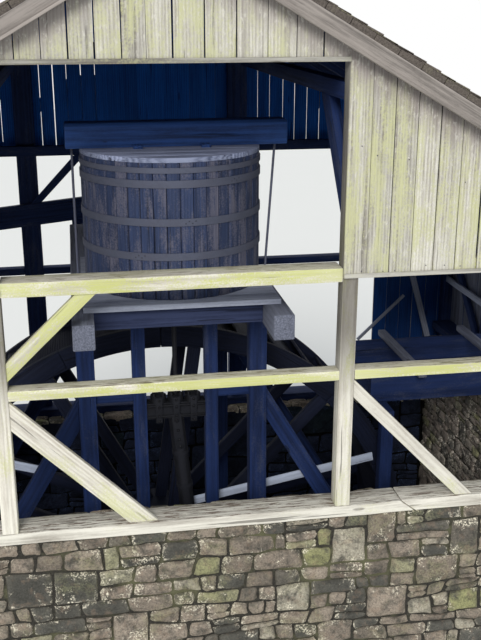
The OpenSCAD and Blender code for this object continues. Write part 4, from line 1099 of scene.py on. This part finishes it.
def lay_shingles(heap, box, down, out, board):
    """Courses of split shingles over one side of the roof, from the eaves up"""
    (x0, _, _), (x1, half, z1) = box
    rng, ridge, reach = heap.rng, Vector((0, 0, z1)), (x1 - x0) / math.cos(PITCH)
    courses = int(reach / board.shingle_step)
    for course in range(courses):
        butt = reach - course * reach / courses + 0.012
        y = -half + rng.uniform(-0.1, 0)
        while y < half - 0.03:
            wide = min(board.shingle_w * rng.uniform(0.6, 1.5), half - y)
            y0, y1 = max(y, -half), y + wide
            y += wide + 0.003
            if y1 - y0 < 0.03:
                continue
            low, head = butt + rng.uniform(-0.012, 0.008), max(butt - 2.3 * board.shingle_step, 0.0)
            thick = rng.uniform(0.010, 0.016)
            lift = rng.uniform(0.006, 0.010)
            turn = rng.uniform(-0.012, 0.012)
            corners = [
                ridge + down * (d + tilt) + Vector((0, yy, 0)) + out * level
                for d, levels in ((low, (lift, lift + thick)), (head, (0.0, 0.004)))
                for yy, tilt in ((y0, -turn), (y1, turn)) for level in levels]
            faces = [[0, 1, 3, 2], [4, 6, 7, 5], [0, 2, 6, 4], [1, 5, 7, 3], [0, 4, 5, 1], [2, 3, 7, 6]]
            heap.add(corners, faces, down)


def recoat(node, finish):
    """Gives a CAD node a better finish"""
    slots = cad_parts[node].data.materials
    slots.clear()
    slots.append(finish)


class WHEELHOUSE_OT_tub(HouseOperator, bpy.types.Operator):
    """Raise the staved blowing tub with its lid and top beam"""
    bl_idname = "wheelhouse.tub"
    bl_label = "Blowing tub"

    def execute(self, context):
        kit, made, machine = context.scene.house_timber, finishes(context.scene), context.scene.house_machine
        staves = Heap("tub_stave_ring")
        rng, count = staves.rng, machine.stave_n
        gap, chamfer = machine.stave_gap / TUB_R / 2, STAVE_EDGE / TUB_R
        inner, tall = TUB_R - STAVE_T, TUB_TOP - TUB_Z
        levels = [TUB_Z, TUB_Z + STAVE_EDGE] + [TUB_Z + tall * t / 7 for t in range(1, 7)]
        levels += [TUB_TOP - STAVE_EDGE, TUB_TOP - 0.0005]
        for i in range(count):
            a0, a1 = 2 * math.pi * i / count + gap, 2 * math.pi * (i + 1) / count - gap
            profile = [
                (a0, inner), (a1, inner), (a1, TUB_R - 0.008), (a1 - chamfer, TUB_R), ((a0 + a1) / 2, TUB_R + 0.001),
                (a0 + chamfer, TUB_R), (a0, TUB_R - 0.008)]
            push, seed = rng.uniform(-0.003, 0.001), rng.uniform(0, 90)
            corners, n = [], len(profile)
            for k, z in enumerate(levels):
                shrink = 0.004 if k in (0, len(levels) - 1) else 0.0
                for j, (angle, radius) in enumerate(profile):
                    worn = noise.noise(Vector((seed, z * 2.2, j))) * 0.0022 if j > 1 else 0.0
                    r = radius + (push - shrink + worn if j > 1 else shrink)
                    corners.append(Vector((TUB_X + r * math.cos(angle), TUB_Y + r * math.sin(angle), z)))
            top = (len(levels) - 1) * n
            faces = bands(n, len(levels)) + [list(reversed(range(n))), list(range(top, top + n))]
            staves.add(corners, faces, UP)
        staves.piece([made["tub wood"]], "tub_wood", STAVE_SMOOTH, ["tub_staves"])

        lid = Heap("tub_lid_boards")
        for part in solids_of("tub_lid"):
            saw(part, BACK, [TUB_Y - 0.72 + LID_BOARD * i for i in range(8)], 0.004, lid, RIGHT, kit)
        lid.piece([made["lid wood"]], "tub_wood", replaced=["tub_lid"])
        # Painted shade: the lid battens and top beam take the blue beam finish
        dress("lid_battens", ["lid_cleats"], [made["beam wood"]], "tub_wood", kit, arris=0.5, bow=0.4)
        dress("tub_top_beam", ["top_beam"], [made["beam wood"]], "tub_wood", kit, arris=1.6, bow=2.0)

        recoat("tub_hoops", made["hoop iron"])
        laps = Heap("hoop_laps")
        for i, (level, tall) in enumerate(HOOPS):
            for turn in range(4):
                angle = math.radians(-118 + 31 * i) + turn * 0.035
                z = TUB_Z + level + (0.01 if turn % 2 else -0.01) * tall / 0.07
                out = Vector((math.cos(angle), math.sin(angle), 0))
                add_head(laps, Vector((TUB_X, TUB_Y, z)) + out * (TUB_R + HOOP_T), out, 0.008, 0.004, 8)
        laps.piece([made["hoop iron"]], "iron", IRON_SMOOTH)
        return {"FINISHED"}


def ring(centre, way, radius, sides):
    """Corners round a centre, square to a direction"""
    side, other = square_to(way)
    angles = [2 * math.pi * i / sides for i in range(sides)]
    return [centre + side * (math.cos(a) * radius) + other * (math.sin(a) * radius) for a in angles]


def add_head(heap, base, out, radius, high, sides=6):
    """A domed nail or bolt head standing on a face"""
    corners = []
    for scale, level in ((1.0, -0.004), (1.0, high * 0.4), (0.62, high * 0.9)):
        corners += [c + out * level for c in ring(base, out, radius * scale, sides)]
    corners.append(base + out * high)
    faces = [list(range(sides))] + bands(sides, 3, flip=True)
    faces += [[2 * sides + (i + 1) % sides, 2 * sides + i, 3 * sides] for i in range(sides)]
    heap.add(corners, faces, out, ends=False)


def add_rod(heap, start, end, radius, sides=10):
    """An iron rod with worn ends"""
    way = (end - start).normalized()
    worn, corners = radius * 0.3, []
    for place, size in (
            (start, radius - worn), (start + way * worn, radius), (end - way * worn, radius), (end, radius - worn)):
        corners += ring(place, way, size, sides)
    faces = [list(range(sides)), [3 * sides + i for i in reversed(range(sides))]] + bands(sides, 4, flip=True)
    heap.add(corners, faces, way, ends=False)


class WHEELHOUSE_OT_machine(HouseOperator, bpy.types.Operator):
    """Age the tub frame, guides, flume and planks, and finish the ironwork"""
    bl_idname = "wheelhouse.machine"
    bl_label = "Tub frame, flume and ironwork"

    def execute(self, context):
        kit, made = context.scene.house_timber, finishes(context.scene)
        # Painted shade: the timbers inside the house take the dark inside finish
        inside, platform = made["painted shade wood"], made["platform wood"]

        def timbers(name, nodes, woods, **traits):
            dress(name, nodes, woods, "machine_timber", kit, **traits)

        timbers("tub_frame_timbers", ["tub_frame_legs", "tub_frame_braces", "tub_frame_sills"], [inside],
                arris=1.3, bow=1.5)
        # Painted shade: the cross beams under the tub's middle take the darker copy, the bearers the platform finish
        timbers("tub_bearing_beams", ["tub_bearers", "tub_cross_beams"], [platform, made["cross beam wood"]],
                arris=1.5, bow=1.5, choose=lambda c: 1 if abs(c.x - TUB_X) < 0.3 else 0)
        planks = Heap("platform_planks")
        for part in solids_of("platform"):
            saw(part, BACK, [-2.2 + PLANK * i for i in range(1, 9)], 0.006, planks, RIGHT, kit)
        planks.piece([made["dusty wood"]], "machine_timber", replaced=["platform"])
        timbers("guide_timbers", ["guide_posts", "guide_rails"], [inside])
        timbers("shaft_blocks", ["bearing_blocks"], [inside], bow=0.0)
        timbers("flume_trough", ["flume"], [inside], way=RIGHT, bow=0.5)
        # Painted shade: the flume ties above the wall take the platform finish, the trestle below the dark inside
        # finish
        timbers("flume_bearers", ["flume_ties", "flume_trestle"], [platform, inside],
                choose=lambda c: 0 if c.z > WALL_TOP + 0.3 else 1)
        dress("loose_planks", ["pit_planks"], [made["plank wood"]], "pale_timber", kit, arris=0.5)
        recoat("tie_rods", made["old iron"])
        for node in ("piston_rod", "connecting_rod", "rod_straps", "crank"):
            recoat(node, made["dark iron"])

        irons = Heap("crosshead_irons")
        for x in (-0.06, 0.125, 0.31):
            clamp = Box((x, CLAMP_Y, CROSS_Z), RIGHT, -BACK, UP)
            age(clamp.solid((-0.034, 0.034), (0, CLAMP_T), (-0.13, 0.155)), UP, irons, SAWN_EDGE, 0.001)
            for z in (-0.105, -0.05, 0.05, 0.13):
                add_head(irons, Vector((x, CLAMP_Y - CLAMP_T, CROSS_Z + z)), -BACK, 0.017, 0.016)
            for y in (-0.05, 0.05):
                for dx in (-0.05, 0.05):
                    foot = Vector((x + dx, CROSS_Y + y, CROSS_Z + 0.10))
                    add_rod(irons, foot, Vector((foot.x, foot.y, CROSS_Z + 0.20)), 0.012)
        for z in (CROSS_Z - 0.06, CROSS_Z + 0.06):
            add_rod(irons, Vector((-0.18, CLAMP_Y, z)), Vector((0.43, CLAMP_Y, z)), 0.013)
        down = Vector((math.sin(ROD_LEAN), 0, -math.cos(ROD_LEAN)))
        level = Vector((math.cos(ROD_LEAN), 0, math.sin(ROD_LEAN)))
        for side in (-1, 1):
            cheek = Box((TUB_X, CROSS_Y, CHEEK_Z), down, BACK * side, level)
            age(cheek.solid((-0.05, 0.36), (0.076, 0.094), (-0.05, 0.05)), down, irons, 0.004, 0.001)
            for along in (0.03, 0.14, 0.25, 0.33):
                spot = Vector((TUB_X, CROSS_Y + side * 0.094, CHEEK_Z)) + down * along
                add_head(irons, spot, BACK * side, 0.018, 0.018)
        irons.piece([made["dark iron"]], "iron", IRON_SMOOTH)
        return {"FINISHED"}


class WHEELHOUSE_OT_wheel(HouseOperator, bpy.types.Operator):
    """Age the wood of the water wheel"""
    bl_idname = "wheelhouse.wheel"
    bl_label = "Water wheel"

    def execute(self, context):
        kit, woods = context.scene.house_timber, [finishes(context.scene)["wheel wood"]]
        dress("arms", ["wheel_arms"], woods, "wheel_wood", kit, body=WHEEL, arris=0.8, bow=0.5)
        dress(
            "bucket_boards", ["wheel_buckets"], woods, "wheel_wood", kit, body=WHEEL, way=BACK,
            arris=0.35, bow=0.25, step=0.6)
        for name, node, count, gap, tangent in (
                ("rim_segments", "wheel_shrouds", 16, 0.006, True), ("sole_boards", "wheel_sole", 40, 0.004, False)):
            heap = Heap(name)
            for part in solids_of(node):
                radial_saw(part, count, gap, heap, kit, tangent)
            heap.piece(woods, "wheel_wood", replaced=[node], body=WHEEL)
        shaft = Heap("shaft_log")
        for part in solids_of("wheel_shaft"):
            shaft.take(part, BACK)
        shaft.piece(woods, "wheel_wood", SHAFT_SMOOTH, ["wheel_shaft"], WHEEL)
        return {"FINISHED"}


def radial_saw(whole, count, gap, heap, kit, tangent):
    """Cuts a ring round the shaft into equal parts"""
    hub = Vector((HUB_X, 0, HUB_Z))
    for i in range(count):
        a0, a1 = 2 * math.pi * i / count, 2 * math.pi * (i + 1) / count
        middle = (a0 + a1) / 2
        part = whole.copy()
        for angle, sign in ((a0, 1), (a1, -1)):
            way = Vector((-math.sin(angle), 0, math.cos(angle)))
            cut(part, hub + way * sign * gap / 2, way, sign)
        cut(part, hub, Vector((math.cos(middle), 0, math.sin(middle))), 1)
        run = Vector((-math.sin(middle), 0, math.cos(middle))) if tangent else BACK
        age(part, run, heap, kit.arris * 0.5, kit.bow * 0.2, 0.9, 0.5)
    whole.free()


class WHEELHOUSE_OT_small(HouseOperator, bpy.types.Operator):
    """Drive the nails and set the loose sticks"""
    bl_idname = "wheelhouse.small"
    bl_label = "Nails and loose wood"

    def execute(self, context):
        kit, made = context.scene.house_timber, finishes(context.scene)
        nails = Heap("siding_nails")
        rng = nails.rng
        for side in (-1, 1):
            for i in range(16):
                x = side * (1.6 + NAIL_STEP * i)
                for z in (LOW_NAILS, HIGH_NAILS + (FACE_X - abs(x)) * NAIL_RISE):
                    if rng.random() < 0.7:
                        spot = Vector((x + rng.uniform(-0.06, 0.06), SIDING_FRONT, z + rng.uniform(-0.02, 0.02)))
                        add_head(nails, spot, -BACK, 0.005, 0.003)
        nails.piece([made["old iron"]], "iron", IRON_SMOOTH)

        loose = Heap("nailed_boards")
        for (x0, z0), (x1, z1), wide in LOOSE_BOARDS:
            run = Vector((x1 - x0, 0, z1 - z0))
            way = run.normalized()
            board = Box((x0, LOOSE_Y, z0), way, BACK, way.cross(BACK))
            age(board.solid((0, run.length), (0, 0.03), (-wide / 2, wide / 2)), way, loose, 0.004, kit.bow)
        wall_board = Box((4.66, 1.12, 5.97), BACK, RIGHT, UP)
        age(wall_board.solid((0, 1.47), (0, 0.034), (0, 0.09)), BACK, loose, 0.004, kit.bow)
        loose.piece([made["dusty wood"]], "machine_timber")
        return {"FINISHED"}


class WHEELHOUSE_OT_stage(HouseOperator, bpy.types.Operator):
    """Set the floor, the soft lamps and the camera"""
    bl_idname = "wheelhouse.stage"
    bl_label = "Studio"

    def execute(self, context):
        kit, scene = context.scene.house_studio, context.scene
        made = Recipe("studio floor")
        made.tree.links.new(
            made.mix(made.mottle(0.6), shade(kit.floor, 0.985), shade(kit.floor)), made.surface["Base Color"])
        made.surface["Roughness"].default_value = 0.9
        made.surface["Specular IOR Level"].default_value = 0.1
        mesh = bpy.data.meshes.new("studio_floor")
        part = bmesh.new()
        bmesh.ops.create_circle(part, cap_ends=True, radius=FLOOR_R, segments=64)
        part.to_mesh(mesh)
        part.free()
        mesh.materials.append(made.finish)
        floor = bpy.data.objects.new("studio_floor", mesh)
        scene.collection.objects.link(floor)

        world = bpy.data.worlds.new("studio")
        world.use_nodes = True
        scene.world = world
        tree = world.node_tree
        tree.nodes.clear()
        seen, glossy, through = (
            put(tree, "LightPath").outputs[f"Is {kind} Ray"] for kind in ("Camera", "Glossy", "Transmission"))
        other = put(tree, "Math", {0: glossy, 1: through}, operation="ADD").outputs[0]
        seen = put(tree, "Math", {0: seen, 1: other}, operation="ADD", use_clamp=True).outputs[0]
        soft = put(tree, "Background", {"Color": (0.92, 0.96, 1.0, 1), "Strength": kit.sky})
        white = put(tree, "Background", {"Color": (1, 1, 1, 1), "Strength": 1.0})
        both = put(tree, "MixShader", {0: seen, 1: soft.outputs[0], 2: white.outputs[0]})
        tree.links.new(both.outputs[0], put(tree, "OutputWorld").inputs[0])

        sun = bpy.data.lights.new("main_light", "SUN")
        sun.energy, sun.angle, sun.color = kit.sun, math.radians(22), (1, 0.985, 0.955)
        lamp = bpy.data.objects.new("main_light", sun)
        lamp.rotation_euler = Vector(LAMP_WAY).to_track_quat("Z", "Y").to_euler()
        scene.collection.objects.link(lamp)

        lens = bpy.data.cameras.new("photo_camera")
        lens.sensor_fit, lens.sensor_height, lens.sensor_width, lens.lens = "VERTICAL", 36, 36, kit.lens
        camera = bpy.data.objects.new("photo_camera", lens)
        camera.location = CAMERA_PLACE
        camera.rotation_euler = [math.radians(turn) for turn in CAMERA_TURN]
        scene.collection.objects.link(camera)
        scene.camera = camera
        scene.view_settings.view_transform = "Standard"
        return {"FINISHED"}


class WHEELHOUSE_PT_panel(bpy.types.Panel):
    """Lists the pieces of the wheel house"""
    bl_label = "Wheel house"
    bl_idname = "WHEELHOUSE_PT_panel"
    bl_space_type = "VIEW_3D"
    bl_region_type = "UI"
    bl_category = "Wheel house"

    def draw(self, context):
        for operator in OPERATORS:
            self.layout.operator(operator.bl_idname)
        for group in SETTINGS:
            box = self.layout.box()
            for key in SETTINGS[group].__annotations__:
                box.prop(getattr(context.scene, group), key)


SETTINGS = {
    "house_rubble": RubbleSettings,
    "house_timber": TimberSettings,
    "house_boards": BoardSettings,
    "house_machine": MachineSettings,
    "house_studio": StudioSettings,
}
OPERATORS = (
    WHEELHOUSE_OT_stage, WHEELHOUSE_OT_walls, WHEELHOUSE_OT_frame, WHEELHOUSE_OT_boards, WHEELHOUSE_OT_roof,
    WHEELHOUSE_OT_tub, WHEELHOUSE_OT_machine, WHEELHOUSE_OT_wheel, WHEELHOUSE_OT_small,
)


def register():
    for group, settings in SETTINGS.items():
        bpy.utils.register_class(settings)
        setattr(bpy.types.Scene, group, PointerProperty(type=settings))
    for made in OPERATORS + (WHEELHOUSE_PT_panel,):
        bpy.utils.register_class(made)


def unregister():
    for made in reversed(OPERATORS + (WHEELHOUSE_PT_panel,)):
        bpy.utils.unregister_class(made)
    for group, settings in SETTINGS.items():
        delattr(bpy.types.Scene, group)
        bpy.utils.unregister_class(settings)


def main():
    register()
    bpy.ops.wheelhouse.stage()
    bpy.ops.wheelhouse.walls()
    bpy.ops.wheelhouse.frame_timbers()
    bpy.ops.wheelhouse.boards()
    bpy.ops.wheelhouse.roof()
    bpy.ops.wheelhouse.tub()
    bpy.ops.wheelhouse.machine()
    bpy.ops.wheelhouse.wheel()
    bpy.ops.wheelhouse.small()


if __name__ == "__main__":
    main()
